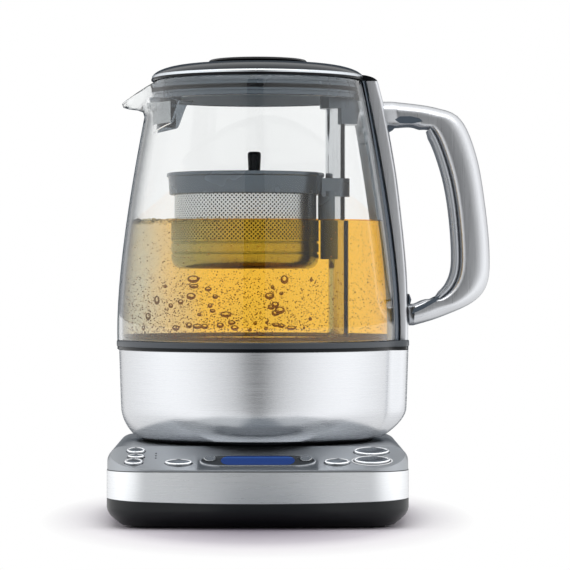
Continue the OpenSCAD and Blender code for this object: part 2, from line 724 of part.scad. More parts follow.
module handle_liner() {
    n = len(HANDLE_IN);
    color("#6b7279") skin([for (i = [7 : n - 8])
        handle_ring(HANDLE_IN[i] + across(i) * liner_t, HANDLE_IN[i], handle_w - 3, 16)]);
}

module handle_screws() {
    color("#8a8d90") for (z = SCREW_HEIGHTS) translate([column_x(z), 0, z]) rotate([0, 90, 0]) {
        translate([0, 0, screw_sunk - 1.6]) cylinder(r = screw_head, h = 1.5, $fn = 32);
        translate([0, 0, screw_sunk - 0.2]) cylinder(r = screw_shank, h = 10, $fn = 32);
    }
}

// ---- Basket ----

// Places its children on the basket's axis
module at_basket() {
    translate([-basket_off, 0, 0]) children();
}

module carrier_ring() {
    ring_z = ring_top_z - ring_h;
    color("#50575f") difference() {
        union() {
            at_basket() translate([0, 0, ring_z])
                cylinder(r1 = ring_r - 1.6, r2 = ring_r, h = ring_h - lip_h);
            at_basket() translate([0, 0, ring_top_z - lip_h]) cylinder(r = ring_r, h = lip_h);
            translate([post_x, 0, ring_z - 1]) cylinder(r = lug_r, h = ring_h - 2);
            translate([post_x - post_r - 5, -lug_r, ring_z]) cube([post_r + 5, 2 * lug_r, ring_h - 3]);
            intersection() {
                translate([post_x, 0, saddle_bottom_z])
                    cylinder(r = saddle_r, h = ring_top_z - lip_h - saddle_bottom_z);
                translate([post_x - 30, -20, saddle_bottom_z - 1]) cube([30, 40, 60]);
            }
        }
        translate([post_x, 0, saddle_bottom_z - 5]) cylinder(r = post_r + slip, h = 80);
        at_basket() translate([0, 0, saddle_bottom_z - 1]) cylinder(r = strainer_r + 0.4, h = 100);
        at_basket() translate([0, 0, ring_top_z - 4]) cylinder(r = strainer_r + 1.9, h = 10);
        magnet_pocket(seat_gap);
    }
}

module magnet_pocket(gap) {
    translate([post_x - saddle_r + 1 - gap, -3 - gap, saddle_bottom_z + 6 - gap])
        cube([1.6 + 2 * gap, 6 + 2 * gap, 20 + 2 * gap]);
}

module saddle_magnet() {
    color("#b9bcbf") magnet_pocket(0);
}

// Perforated bands at the front and the back of the strainer
HOLE_ROWS = 4;
HOLE_COLUMNS = 9;

module strainer() {
    lip_z = ring_top_z - 4 + seat_gap;
    color("#b4b7ba") at_basket() difference() {
        rotate_extrude() polygon(concat(
            [[0, strainer_z], [strainer_r - 5, strainer_z], [strainer_r - 1.5, strainer_z + 1.5],
                [strainer_r, strainer_z + 5], [strainer_r, lip_z], [strainer_r + 1.7, lip_z],
                [strainer_r + 1.7, lip_z + strainer_t]],
            [[strainer_r - strainer_t, lip_z + strainer_t], [strainer_r - strainer_t, strainer_z + 5],
                [strainer_r - 2, strainer_z + 2.2], [strainer_r - 5.2, strainer_z + strainer_t],
                [0, strainer_z + strainer_t]]));
        for (side = [-90, 90], i = [0 : HOLE_COLUMNS - 1], j = [0 : HOLE_ROWS - 1])
            rotate(side - 48 + 96 * i / (HOLE_COLUMNS - 1))
                translate([strainer_r - 3, 0, strainer_z + 15 + 6 * j])
                    rotate([0, 90, 0]) cylinder(r = strainer_hole / 2, h = 6, $fn = 16);
    }
}

module basket_lid() {
    z = ring_top_z - 4 + seat_gap + strainer_t + 0.1;
    color("#a9acb0") at_basket() translate([0, 0, z]) difference() {
        union() {
            cylinder(r = strainer_r + 1.6, h = 1);
            translate([0, 0, 0.9]) cylinder(r1 = 14, r2 = 9, h = 1.6);
        }
        translate([basket_off - 2, 0, -1]) cylinder(r = 1.5, h = 6, $fn = 24);
    }
}

module basket_lid_knob() {
    z = ring_top_z - 4 + seat_gap + strainer_t + 0.1;
    color("#17191b") translate([-2, 0, z]) {
        translate([0, 0, 0.1]) cylinder(r = 1.4, h = 3, $fn = 24);
        translate([0, 0, 2.6]) cylinder(r1 = 3.2, r2 = 3.9, h = 12.6);
    }
}

// ---- Lid ----

module lid_cap() {
    top = rim_z + dome_h;
    color("#3b3f45") rotate_extrude() polygon(concat(
        [[cap_r - 3, cap_z], [cap_r, cap_z], [cap_r, cap_z + 2]],
        bezier([[cap_r - 0.3, cap_z + 3.4], [cap_r - 5, rim_z + dome_h * 0.8],
            [knob_r + 14, rim_z + dome_h * 0.86], [knob_r, top]], 8),
        [[0, top], [0, top - lid_t], [knob_r, top - lid_t]],
        bezier([[knob_r, top - lid_t], [knob_r + 14, rim_z + dome_h * 0.86 - lid_t],
            [cap_r - 8, rim_z + dome_h * 0.8 - lid_t], [cap_r - 3, cap_z + 1.6]], 8)));
}

module lid_knob() {
    color("#17191b") translate([0, 0, knob_z + 0.05]) difference() {
        union() {
            cylinder(r = knob_r - 1.5, h = 0.8);
            translate([0, 0, 0.8]) cylinder(r1 = knob_r, r2 = knob_r - 0.8, h = knob_h - 0.8);
        }
        translate([0, 0, knob_h - 0.4]) cylinder(r = knob_r - 3, h = 1);
    }
}

module lid_tab() {
    reach = glass_r_rim + column_t + 2;
    color("#17191b") difference() {
        translate([cap_r - 1, -9, cap_z]) cube([reach - cap_r + 1, 18, 3.8]);
        translate([0, 0, cap_z - 1]) cylinder(r = cap_r + 0.05, h = 10);
    }
}

module lid_collar() {
    inner_r = collar_r - collar_t;
    color("#50575f") difference() {
        union() {
            translate([0, 0, collar_z]) cylinder(r = collar_r, h = cap_z - collar_z + 1);
            intersection() {
                translate([post_x, 0, rim_z - 15.5]) cylinder(r = lug_r + 0.6, h = 15.5 + 1);
                translate([0, 0, rim_z - 30]) cylinder(r = collar_r, h = 60);
            }
            intersection() {
                translate([post_x, -5, rim_z - 15.5]) cube([20, 10, 15.5]);
                translate([0, 0, rim_z - 30]) cylinder(r = collar_r, h = 60);
            }
        }
        difference() {
            translate([0, 0, collar_z - 1]) cylinder(r = inner_r, h = 60);
            translate([post_x, 0, rim_z - 40]) cylinder(r = lug_r + 0.6, h = 80);
            translate([post_x, -5, rim_z - 40]) cube([20, 10, 80]);
        }
        translate([post_x, 0, rim_z - 40]) cylinder(r = post_r + run_gap, h = tube_top_z - rim_z + 42.5);
        translate([0, 0, collar_z + 4]) rotate_extrude() translate([collar_r - 1.1, 0]) square([3, 2.4]);
        filter_slot(seat_gap);
    }
}

module lid_seal() {
    color("#2b2e31") translate([0, 0, collar_z + 4.1]) rotate_extrude()
        translate([collar_r - 1, 0]) square([1.3, 2.2]);
}

// The filter hangs from the collar in front of the spout
module filter_slot(gap) {
    translate([0, 0, collar_z - 1]) rotate([0, 0, 180 - 26 - gap]) rotate_extrude(angle = 52 + 2 * gap)
        translate([collar_r - collar_t - 0.2 - gap, 0]) square([1.2 + 2 * gap, 4 + gap]);
}

module spout_filter() {
    bottom = rim_z - filter_drop;
    color("#5a616a") {
        difference() {
            rotate([0, 0, 180 - 26]) rotate_extrude(angle = 52)
                translate([collar_r - collar_t - 0.2, bottom]) square([1.2, collar_z + 3 - bottom]);
            for (a = [-15 : 7.5 : 15], z = [0 : 3])
                rotate(180 + a) translate([collar_r - 8, 0, bottom + 5 + 4.2 * z])
                    rotate([0, 90, 0]) cylinder(r = 1.4, h = 12, $fn = 16);
        }
        for (a = [-26, 24]) rotate([0, 0, 180 + a]) rotate_extrude(angle = 2)
            translate([collar_r - collar_t - 3, bottom + 1]) square([3, collar_z - bottom - 1.5]);
    }
}

deck_shell();
front_fascia();
base_skirt();
foot_ring();
base_screws();
display_frame();
display_lens();
display_module();
control_board();
key_switches();
key(0);  // hour_key
key(1);  // minute_key
key(2);  // clock_key
key(3);  // timer_key
key(4);  // select_left_key
key(5);  // select_right_key
key(6);  // warm_key
key(7);  // brew_key
key(8);  // start_key
power_board();
base_socket();
socket_contacts();
cord_gland();
jug_foot();
jug_plug();
steel_cup();
seal_band();
glass_wall();
heater_plate();
heating_element();
temperature_probe();
jug_board();
post_tube();
post_cap();
lift_motor();
shaft_coupling();
lead_screw();
magnet_sled();
sled_magnet();
handle_column();
handle_shell();
handle_liner();
handle_screws();
carrier_ring();
saddle_magnet();
strainer();
basket_lid();
basket_lid_knob();
lid_cap();
lid_knob();
lid_tab();
lid_collar();
lid_seal();
spout_filter();
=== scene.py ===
"""Looks of the automatic tea maker: a glass and steel jug with a motor-lifted basket, on a power base.

Sizes are in millimetres, as on the drawing of the part.
"""

import logging
import math
import random
from collections.abc import Callable, Sequence
from dataclasses import dataclass
from enum import Enum

import bmesh
import bpy
from mathutils import Matrix, Vector


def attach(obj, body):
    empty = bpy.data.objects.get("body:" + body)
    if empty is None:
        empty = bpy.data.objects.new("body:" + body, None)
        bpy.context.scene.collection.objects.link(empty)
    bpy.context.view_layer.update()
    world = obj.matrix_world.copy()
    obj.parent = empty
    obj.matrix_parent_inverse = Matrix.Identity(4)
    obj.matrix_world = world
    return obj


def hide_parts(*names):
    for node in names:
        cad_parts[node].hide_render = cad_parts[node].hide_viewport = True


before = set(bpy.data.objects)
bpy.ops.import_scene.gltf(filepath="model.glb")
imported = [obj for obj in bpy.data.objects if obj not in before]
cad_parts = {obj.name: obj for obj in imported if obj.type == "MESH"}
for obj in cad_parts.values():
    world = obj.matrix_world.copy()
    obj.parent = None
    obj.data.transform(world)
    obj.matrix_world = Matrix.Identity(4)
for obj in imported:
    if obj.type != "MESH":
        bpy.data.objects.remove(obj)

MM = 0.001
UP = Vector((0, 0, 1))
Tone = tuple[float, float, float, float]
Line = list[tuple[float, float]]
Ring = list[tuple[float, float, float]]
Profile = Sequence[tuple[float, float]]
Tree = bpy.types.NodeTree
Socket = bpy.types.NodeSocket
Edges = list[bmesh.types.BMEdge]
log = logging.getLogger("tea_maker")


# ---- Finishes ----


def linear(colour: str) -> Tone:
    """Turns an sRGB hex colour to linear.

    Args:
        colour: such as "#b9bcc0".

    Returns:
        Linear red, green, blue, and an alpha of 1.
    """
    parts = [int(colour[i : i + 2], 16) / 255 for i in (1, 3, 5)]
    r, g, b = (c / 12.92 if c <= 0.04045 else ((c + 0.055) / 1.055) ** 2.4 for c in parts)
    return r, g, b, 1.0


def add(tree: Tree, kind: str, inputs: dict | None = None, **settings) -> bpy.types.Node:
    """Adds a node with its settings and links.

    Args:
        tree: node tree that takes the node.
        kind: the node's type, without ShaderNode.
        inputs: value or output socket for each input, by name or place.
        settings: the node's own properties.

    Returns:
        The new node.
    """
    node = tree.nodes.new("ShaderNode" + kind)
    for name, value in settings.items():
        setattr(node, name, value)
    for name, value in (inputs or {}).items():
        if isinstance(value, Socket):
            tree.links.new(value, node.inputs[name])
        else:
            node.inputs[name].default_value = value
    return node


def maths(tree: Tree, operation: str, *values: float | Socket) -> Socket:
    """Works out a number from numbers and sockets."""
    return add(tree, "Math", dict(enumerate(values)), operation=operation).outputs[0]


def span(tree: Tree, value: Socket, low: float, high: float, first: float = 0.0, last: float = 1.0) -> Socket:
    """Maps a value that goes from low to high so that it goes from first to last."""
    inputs = {"Value": value, "From Min": low, "From Max": high, "To Min": first, "To Max": last}
    return add(tree, "MapRange", inputs).outputs[0]


def mix(tree: Tree, share: Socket, first: Tone | Socket, second: Tone | Socket, blend: str = "MIX") -> Socket:
    """Blends a second colour into a first one by a share."""
    return add(tree, "Mix", {0: share, 6: first, 7: second}, data_type="RGBA", blend_type=blend).outputs[2]


def noise(tree: Tree, place: Socket, size: float, detail: float = 2.0, roughness: float = 0.5) -> Socket:
    """Gives noise from 0 to 1 whose features are about size mm wide."""
    inputs = {"Vector": place, "Scale": 1 / (size * MM), "Detail": detail, "Roughness": roughness}
    return add(tree, "TexNoise", inputs).outputs["Fac"]


def ramp(tree: Tree, share: Socket, stops: Sequence[tuple[float, str]]) -> Socket:
    """Adds a colour ramp.

    Args:
        tree: node tree that takes the ramp.
        share: what picks the colour, from 0 to 1.
        stops: place from 0 to 1 and sRGB hex colour of each stop.

    Returns:
        The ramp's colour socket.
    """
    node = add(tree, "ValToRGB", {"Fac": share})
    marks = node.color_ramp.elements
    while len(marks) < len(stops):
        marks.new(0.5)
    for mark, (place, colour) in zip(marks, stops):
        mark.position = place
        mark.color = linear(colour)
    return node.outputs["Color"]


def tinted(colour: str, red: float, green: float, blue: float) -> Tone:
    """Gives an sRGB hex colour as linear, with a factor on each of its parts."""
    r, g, b, _ = linear(colour)
    return min(1, r * red), min(1, g * green), min(1, b * blue), 1


def blank(name: str) -> tuple[bpy.types.Material, Tree]:
    """Makes a material with an empty node tree."""
    material = bpy.data.materials.new(name)
    material.use_nodes = True
    material.node_tree.nodes.clear()
    return material, material.node_tree


def cover(tree: Tree, inputs: dict[str, float | Socket]) -> None:
    """Ends a material's tree with a principled shader that has these inputs."""
    shader = add(tree, "BsdfPrincipled", inputs)
    add(tree, "OutputMaterial", {"Surface": shader.outputs[0]})


def stand(name: str, data: bpy.types.ID) -> bpy.types.Object:
    """Puts a new object in the scene."""
    thing = bpy.data.objects.new(name, data)
    bpy.context.scene.collection.objects.link(thing)
    return thing


class Grain(Enum):
    """Length of a brushed metal's scratches along x, y and z, in mm."""

    LEVEL = (30.0, 30.0, 0.32)
    UPRIGHT = (0.4, 0.4, 30.0)
    FINE = (0.6, 0.6, 0.6)


@dataclass(frozen=True)
class Metal:
    """Bare or plated metal with the marks of its last finishing step."""

    name: str
    colour: str
    roughness: float
    grain: Grain = Grain.FINE
    spread: float = 0.06
    relief: float = 0.02

    def build(self) -> bpy.types.Material:
        """Makes the material: scratches change its gloss, its tone and its surface."""
        material, tree = blank(self.name)
        place = add(tree, "TexCoord").outputs["Object"]
        scale = tuple(1 / length for length in self.grain.value)
        mapped = add(tree, "Mapping", {"Vector": place, "Scale": scale})
        scratch = noise(tree, mapped.outputs[0], 1.0, 4.0, 0.6)
        dull, bright = tinted(self.colour, 0.86, 0.86, 0.87), tinted(self.colour, 1.1, 1.1, 1.1)
        bump = add(tree, "Bump", {"Height": scratch, "Strength": self.relief * 10, "Distance": 0.02 * MM})
        inputs = {
            "Metallic": 1.0,
            "Base Color": mix(tree, scratch, dull, bright),
            "Roughness": span(tree, scratch, 0.3, 0.7, self.roughness - self.spread, self.roughness + self.spread),
            "Normal": bump.outputs[0],
        }
        cover(tree, inputs)
        return material


@dataclass(frozen=True)
class Plastic:
    """Moulded plastic or rubber with the fine texture of its mould."""

    name: str
    colour: str
    roughness: float
    grit: float = 0.5
    relief: float = 0.15
    coat: float = 0.0
    metallic: float = 0.0
    ior: float = 1.5

    def build(self) -> bpy.types.Material:
        """Makes the material: the mould's texture shows in its gloss and its surface."""
        material, tree = blank(self.name)
        place = add(tree, "TexCoord").outputs["Object"]
        grit = noise(tree, place, self.grit, 3.0)
        cloud = noise(tree, place, 18.0)
        dull, bright = tinted(self.colour, 0.92, 0.92, 0.92), tinted(self.colour, 1.08, 1.08, 1.08)
        bump = add(tree, "Bump", {"Height": grit, "Strength": self.relief, "Distance": 0.03 * MM})
        inputs = {
            "Base Color": mix(tree, grit, dull, bright),
            "Metallic": self.metallic,
            "Roughness": span(tree, cloud, 0.3, 0.7, self.roughness * 0.88, self.roughness * 1.12),
            "IOR": self.ior,
            "Coat Weight": self.coat,
            "Coat Roughness": 0.06,
            "Normal": bump.outputs[0],
        }
        cover(tree, inputs)
        return material


@dataclass(frozen=True)
class Clear:
    """Glass or clear plastic, darker where the eye looks along its wall."""

    name: str
    colour: str
    edge: str
    ior: float
    roughness: float = 0.0
    rim: tuple[float, float] = (0.62, 0.97)

    def build(self) -> bpy.types.Material:
        """Makes the material: its edge colour comes in at a grazing look."""
        material, tree = blank(self.name)
        facing = add(tree, "LayerWeight", {"Blend": 0.5}).outputs["Facing"]
        stops = ((0.0, self.colour), (self.rim[0], self.colour), (self.rim[1], self.edge))
        inputs = {
            "Base Color": ramp(tree, facing, stops),
            "Transmission Weight": 1.0,
            "IOR": self.ior,
            "Roughness": self.roughness,
        }
        cover(tree, inputs)
        return material


@dataclass(frozen=True)
class Display:
    """Blue display with faint rows of cells and a paler line near its top, on a map in mm."""

    name: str
    colour: str
    line: str
    cell: float = 0.4
    line_v: float = 2.9
    line_half: float = 0.5

    def build(self) -> bpy.types.Material:
        """Makes the material: faint rows of cells, and the line across them."""
        material, tree = blank(self.name)
        v = add(tree, "SeparateXYZ", {0: add(tree, "UVMap").outputs[0]}).outputs["Y"]
        rows = maths(tree, "SINE", maths(tree, "MULTIPLY", v, math.tau / self.cell))
        faint = span(tree, rows, -1.0, 1.0, 0.0, 0.12)
        line = maths(tree, "COMPARE", v, self.line_v, self.line_half)
        blue = mix(tree, maths(tree, "MAXIMUM", faint, line), linear(self.colour), linear(self.line))
        cover(tree, {"Base Color": blue, "Roughness": 0.3, "IOR": 1.25})
        return material


@dataclass(frozen=True)
class Brew:
    """Brewed tea with leaf dust in it: clear gold, paler and cloudy towards the spout."""

    name: str
    gold: str
    pale: str
    dust: str
    swirl: float = 24.0
    drift: float = 14.0
    cloud_x: tuple[float, float] = (-68.0, -30.0)

    def build(self) -> bpy.types.Material:
        """Makes the material: the tea's gold, the cloud at the spout's side, and specks of leaf."""
        material, tree = blank(self.name)
        place = add(tree, "TexCoord").outputs["Object"]
        x = add(tree, "SeparateXYZ", {0: place}).outputs["X"]
        drift = span(tree, noise(tree, place, self.swirl, 3.0), 0.0, 1.0, -self.drift * MM, self.drift * MM)
        cloud = span(tree, maths(tree, "ADD", x, drift), *(end * MM for end in self.cloud_x))
        body = mix(tree, cloud, linear(self.pale), linear(self.gold))
        grains = add(tree, "TexVoronoi", {"Vector": place, "Scale": 1 / (1.9 * MM), "Randomness": 1.0}, feature="F1")
        dots = span(tree, grains.outputs["Distance"], 0.16, 0.26, 1.0, 0.0)
        patches = span(tree, noise(tree, place, 9.0), 0.36, 0.6)
        tone = mix(tree, maths(tree, "MULTIPLY", dots, patches), body, linear(self.dust))
        cover(tree, {"Base Color": tone, "Transmission Weight": 1.0, "IOR": 1.04, "Roughness": 0.03})
        return material


@dataclass(frozen=True)
class Sieve:
    """Stainless sheet with rows of fine punched holes, set on the skew."""

    name: str
    colour: str
    hole: str
    pitch: float
    low: float
    high: float
    wet: str = "#ffffff"
    wet_z: float = 0.0

    def build(self) -> bpy.types.Material:
        """Makes the material: holes round the sheet between two heights, and a wet lower part."""
        material, tree = blank(self.name)
        parts = add(tree, "SeparateXYZ", {0: add(tree, "UVMap").outputs[0]}).outputs
        turn = math.tau / (self.pitch * math.sqrt(2))
        rows: list[Socket] = []
        for sign in (1.0, -1.0):
            skew = maths(tree, "MULTIPLY_ADD", parts["Y"], sign, parts["X"])
            rows.append(maths(tree, "COSINE", maths(tree, "MULTIPLY", skew, turn)))
        punched = span(tree, maths(tree, "ADD", *rows), 0.55, 1.0)
        above = maths(tree, "GREATER_THAN", parts["Y"], self.low)
        below = maths(tree, "LESS_THAN", parts["Y"], self.high)
        amount = maths(tree, "MULTIPLY", punched, maths(tree, "MULTIPLY", above, below))
        dry = mix(tree, amount, linear(self.colour), linear(self.hole))
        wet = maths(tree, "LESS_THAN", parts["Y"], self.wet_z)
        bump = add(tree, "Bump", {"Height": amount, "Strength": 0.6, "Distance": 0.25 * MM}, invert=True)
        inputs = {
            "Metallic": 1.0,
            "Base Color": mix(tree, wet, dry, linear(self.wet), "MULTIPLY"),
            "Roughness": span(tree, amount, 0.0, 1.0, 0.24, 0.6),
            "Normal": bump.outputs[0],
        }
        cover(tree, inputs)
        return material


FINISHES = {
    # Silver metallic paint sprayed on moulded ABS: its flakes, 0.6 mm apart, soften a satin surface's reflections
    "satin_silver": Metal("silver_paint_on_abs", "#a0a4a8", 0.36, Grain.FINE, 0.05, 0.01),
    # Stainless sheet, belt brushed: level scratches 0.3 mm apart and 30 mm long draw the lights out sideways
    "brushed_band": Metal("brushed_stainless_band", "#e2e4e6", 0.3, Grain.LEVEL, 0.05, 0.012),
    # The same sheet drawn to a cup and brushed as it turns: the scratches go round it
    "jug_steel": Metal("brushed_stainless_cup", "#cdcfd2", 0.27, Grain.LEVEL, 0.07, 0.03),
    # Satin chrome on die-cast zinc: an even soft gloss, with 0.4 mm polishing marks along it
    "handle_steel": Metal("satin_chromed_zinc", "#c8cacd", 0.3, Grain.UPRIGHT, 0.04, 0.01),
    # Pressed stainless floor: the press leaves a soft gloss, uneven over 0.6 mm
    "inner_steel": Metal("pressed_stainless_floor", "#b7babd", 0.32, Grain.FINE, 0.05, 0.01),
    # Polished stainless tube: near mirror, with upright 0.4 mm drawing marks
    "post_steel": Metal("polished_stainless_tube", "#d4d6d8", 0.1, Grain.UPRIGHT, 0.03, 0.01),
    # Bright-rolled stainless sheet: clear reflections, a little drawn out by 0.3 mm marks
    "basket_steel": Metal("bright_stainless_sheet", "#c9cac8", 0.22, Grain.LEVEL, 0.05, 0.01),
    # Bright chrome plate on moulded rims: hard small highlights, with 0.6 mm unevenness
    "key_chrome": Metal("bright_chrome_plate", "#dfe1e3", 0.14, Grain.FINE, 0.03, 0.0),
    # Dark satin chrome on the buttons' dished faces: a softer, darker shine than their rims, uneven over 0.6 mm
    "key_silver": Metal("dark_satin_chrome", "#62686e", 0.2, Grain.FINE, 0.04, 0.01),
    # Zinc-plated steel screws: a dull grey shine, uneven over 0.6 mm
    "zinc_screw": Metal("zinc_plated_steel", "#9a9da0", 0.35),
    # Sheath of the heating element, annealed steel: a blotched grey, uneven over 0.6 mm
    "element_steel": Metal("sheathed_element_steel", "#77797b", 0.45, Grain.FINE, 0.08, 0.04),
    # The motor's can, deep-drawn steel: upright 0.4 mm drawing marks
    "motor_steel": Metal("drawn_steel_can", "#84888b", 0.38, Grain.UPRIGHT),
    # Rolled thread of the lead screw: burnished flanks, uneven over 0.6 mm
    "screw_steel": Metal("rolled_screw_steel", "#9a9da0", 0.25),
    # Nickel plate on sintered magnets: a warm shine, uneven over 0.6 mm
    "magnet_nickel": Metal("nickel_plate", "#b9bab6", 0.2),
    # Drawn brass of contacts and coupling: yellow shine, uneven over 0.6 mm
    "contact_brass": Metal("drawn_brass", "#c29a4a", 0.3),
    # Black ABS from a textured mould: soft wide highlights over a 0.5 mm grain
    "black_skirt": Plastic("moulded_black_abs", "#0a0f12", 0.34, 0.5, 0.12, 0.0, 0.0, 1.45),
    # Black ABS from a polished mould: deep black under a sharp faint shine, ripples 0.8 mm wide; it also paints the
    # shade in the gaps under the lid's dome and under the seal band
    "knob_black": Plastic("glossy_black_abs_and_painted_shade", "#0a0d10", 0.22, 0.8, 0.03, 0.0, 0.0, 1.24),
    # Slate plastic of the lid from a polished mould: dark, with clear reflections, ripples 0.8 mm wide
    "lid_grey": Plastic("glossy_slate_plastic", "#23282d", 0.14, 0.8, 0.02, 0.0, 0.0, 1.32),
    # Pale polished bead above the lid's black line: a painted highlight, a thin bright line, uneven over 0.6 mm
    "painted_lid_highlight": Metal("painted_highlight_bead", "#ccd1d6", 0.26, Grain.FINE, 0.02, 0.0),
    # Slate plastic with metal flake: greyish soft shine, grain 0.5 mm
    "ring_grey": Plastic("moulded_slate_plastic", "#646e77", 0.26, 0.5, 0.01, 0.0, 0.55),
    # Moulded silicone of the seal: matt with a faint sheen, grain 0.4 mm
    "seal_grey": Plastic("silicone_rubber", "#30363d", 0.36, 0.4, 0.05),
    # Silver-filled grip moulding: between paint and metal, grain 0.4 mm
    "liner_grey": Plastic("silver_grip_moulding", "#b4b8bd", 0.3, 0.4, 0.1, 0.0, 0.6),
    # Moulded elastomer: matt slate, grain 0.5 mm; the same slate paints the shade plates at the handle's arms
    "slate_gasket_and_painted_shade": Plastic("slate_elastomer_and_painted_shade", "#4a5561", 0.35, 0.5, 0.05),
    # Even light grey with a 0.5 mm grain, for painted light: the column's image through the glass's edge, and the lit
    # far side inside the lid's collar
    "painted_pale_grey": Plastic("pale_grey_painted_light", "#b1bac2", 0.35, 0.5, 0.05),
    # Moulded rubber: dead matt, with a 0.3 mm grain
    "foot_rubber": Plastic("moulded_rubber", "#1b1c1e", 0.8, 0.3, 0.4),
    # Dark frame under a clear lacquer: a sharp shine over deep grey, ripples 0.8 mm wide
    "display_dark": Plastic("glossy_dark_frame", "#22262a", 0.2, 0.8, 0.03, 0.5),
    # Plain moulded housing: matt grey, grain 0.5 mm
    "module_grey": Plastic("display_housing", "#3d4246", 0.5),
    # Green solder mask over woven glass fibre: a soft shine over a 0.4 mm weave
    "board_green": Plastic("solder_mask_on_glass_fibre", "#1f5c3a", 0.4, 0.4, 0.3),
    # Moulded switch housing: matt grey, grain 0.5 mm
    "switch_grey": Plastic("switch_housing", "#55585b", 0.5),
    # Glass-filled nylon, moulded: fibres make a rough 0.4 mm grain
    "connector_black": Plastic("glass_filled_nylon", "#202326", 0.5, 0.4, 0.3),
    # Acetal moulding: waxy grey, grain 0.5 mm
    "sled_grey": Plastic("acetal_moulding", "#4a4e52", 0.4),
    # Backlit display behind its clear moulded window: deep blue rows of cells 0.4 mm apart, with a paler line
    "display_blue": Display("backlit_blue_window", "#1f3f86", "#4068b4"),
    # Open seam between casing and band: dull dark, grain 0.5 mm
    "seam_black": Plastic("dark_seam", "#23272b", 0.6),
    # Frosted light ring, moulded: an even white glow of its own colour, grain 0.5 mm
    "lit_ring": Plastic("frosted_light_ring", "#f2f4f6", 0.3),
    # Blown borosilicate glass: clear, with a grey line where its 2.6 mm wall turns away
    "clear_glass": Clear("borosilicate_glass", "#fafbfb", "#49535c", 1.45, 0.0, (0.58, 0.92)),
    # Smoke-tinted plastic, moulded 1.3 mm thin: grey, and darker where it turns away
    "filter_smoke": Clear("smoked_clear_plastic", "#737b82", "#4a5158", 1.05, 0.05),
    # Stainless sheet, punched: fine round holes on the skew, 1.7 mm apart, between plain foot and plain top edge
    "sieve": Sieve("perforated_stainless", "#d2d4d2", "#1c1e1b", 1.7, 156.6, 188.5, "#e6ebdc", 167.4),
    # Woven steel mesh of the spout's filter, 0.8 mm apart, pale against the smoked plastic
    "mesh_pale": Sieve("woven_filter_mesh", "#b9bdbf", "#6d747a", 0.8, 200.0, 250.0),
    # Bubbles of 2 to 8 mm in the tea: each shows as a brown rim round clear gold, an opaque ring of painted shade for
    # the light the bubble bends away
    "bubble_painted_rim": Plastic("bubble_painted_rim", "#b08638", 0.3, 0.4, 0.0),
    # Froth on the tea: clear bubbles of 0.6 to 1.7 mm with olive edges
    "froth_pale": Clear("tea_froth", "#eeeadb", "#a39d80", 1.02, 0.0, (0.5, 0.95)),
    # Fine leaf that has settled at the foot of the glass: matt olive, grain 0.4 mm
    "dregs": Plastic("settled_leaf", "#8f8250", 0.6, 0.4, 0.2),
    # Tea leaf dust: matt brown grains of 0.4 to 0.9 mm
    "leaf_dust": Plastic("leaf_dust", "#a8752a", 0.7, 0.4, 0.1),
    # Brewed tea: clear gold with 24 mm swirls and specks 1.9 mm apart, cloudy towards the spout
    "tea": Brew("brewed_tea", "#ffc644", "#cdc7ae", "#8a5a14"),
}
_made: dict[str, bpy.types.Material] = {}


def finish_of(name: str) -> bpy.types.Material:
    """Gives a finish's material, made once."""
    if name not in _made:
        _made[name] = FINISHES[name].build()
    return _made[name]


# ---- Shaping ----


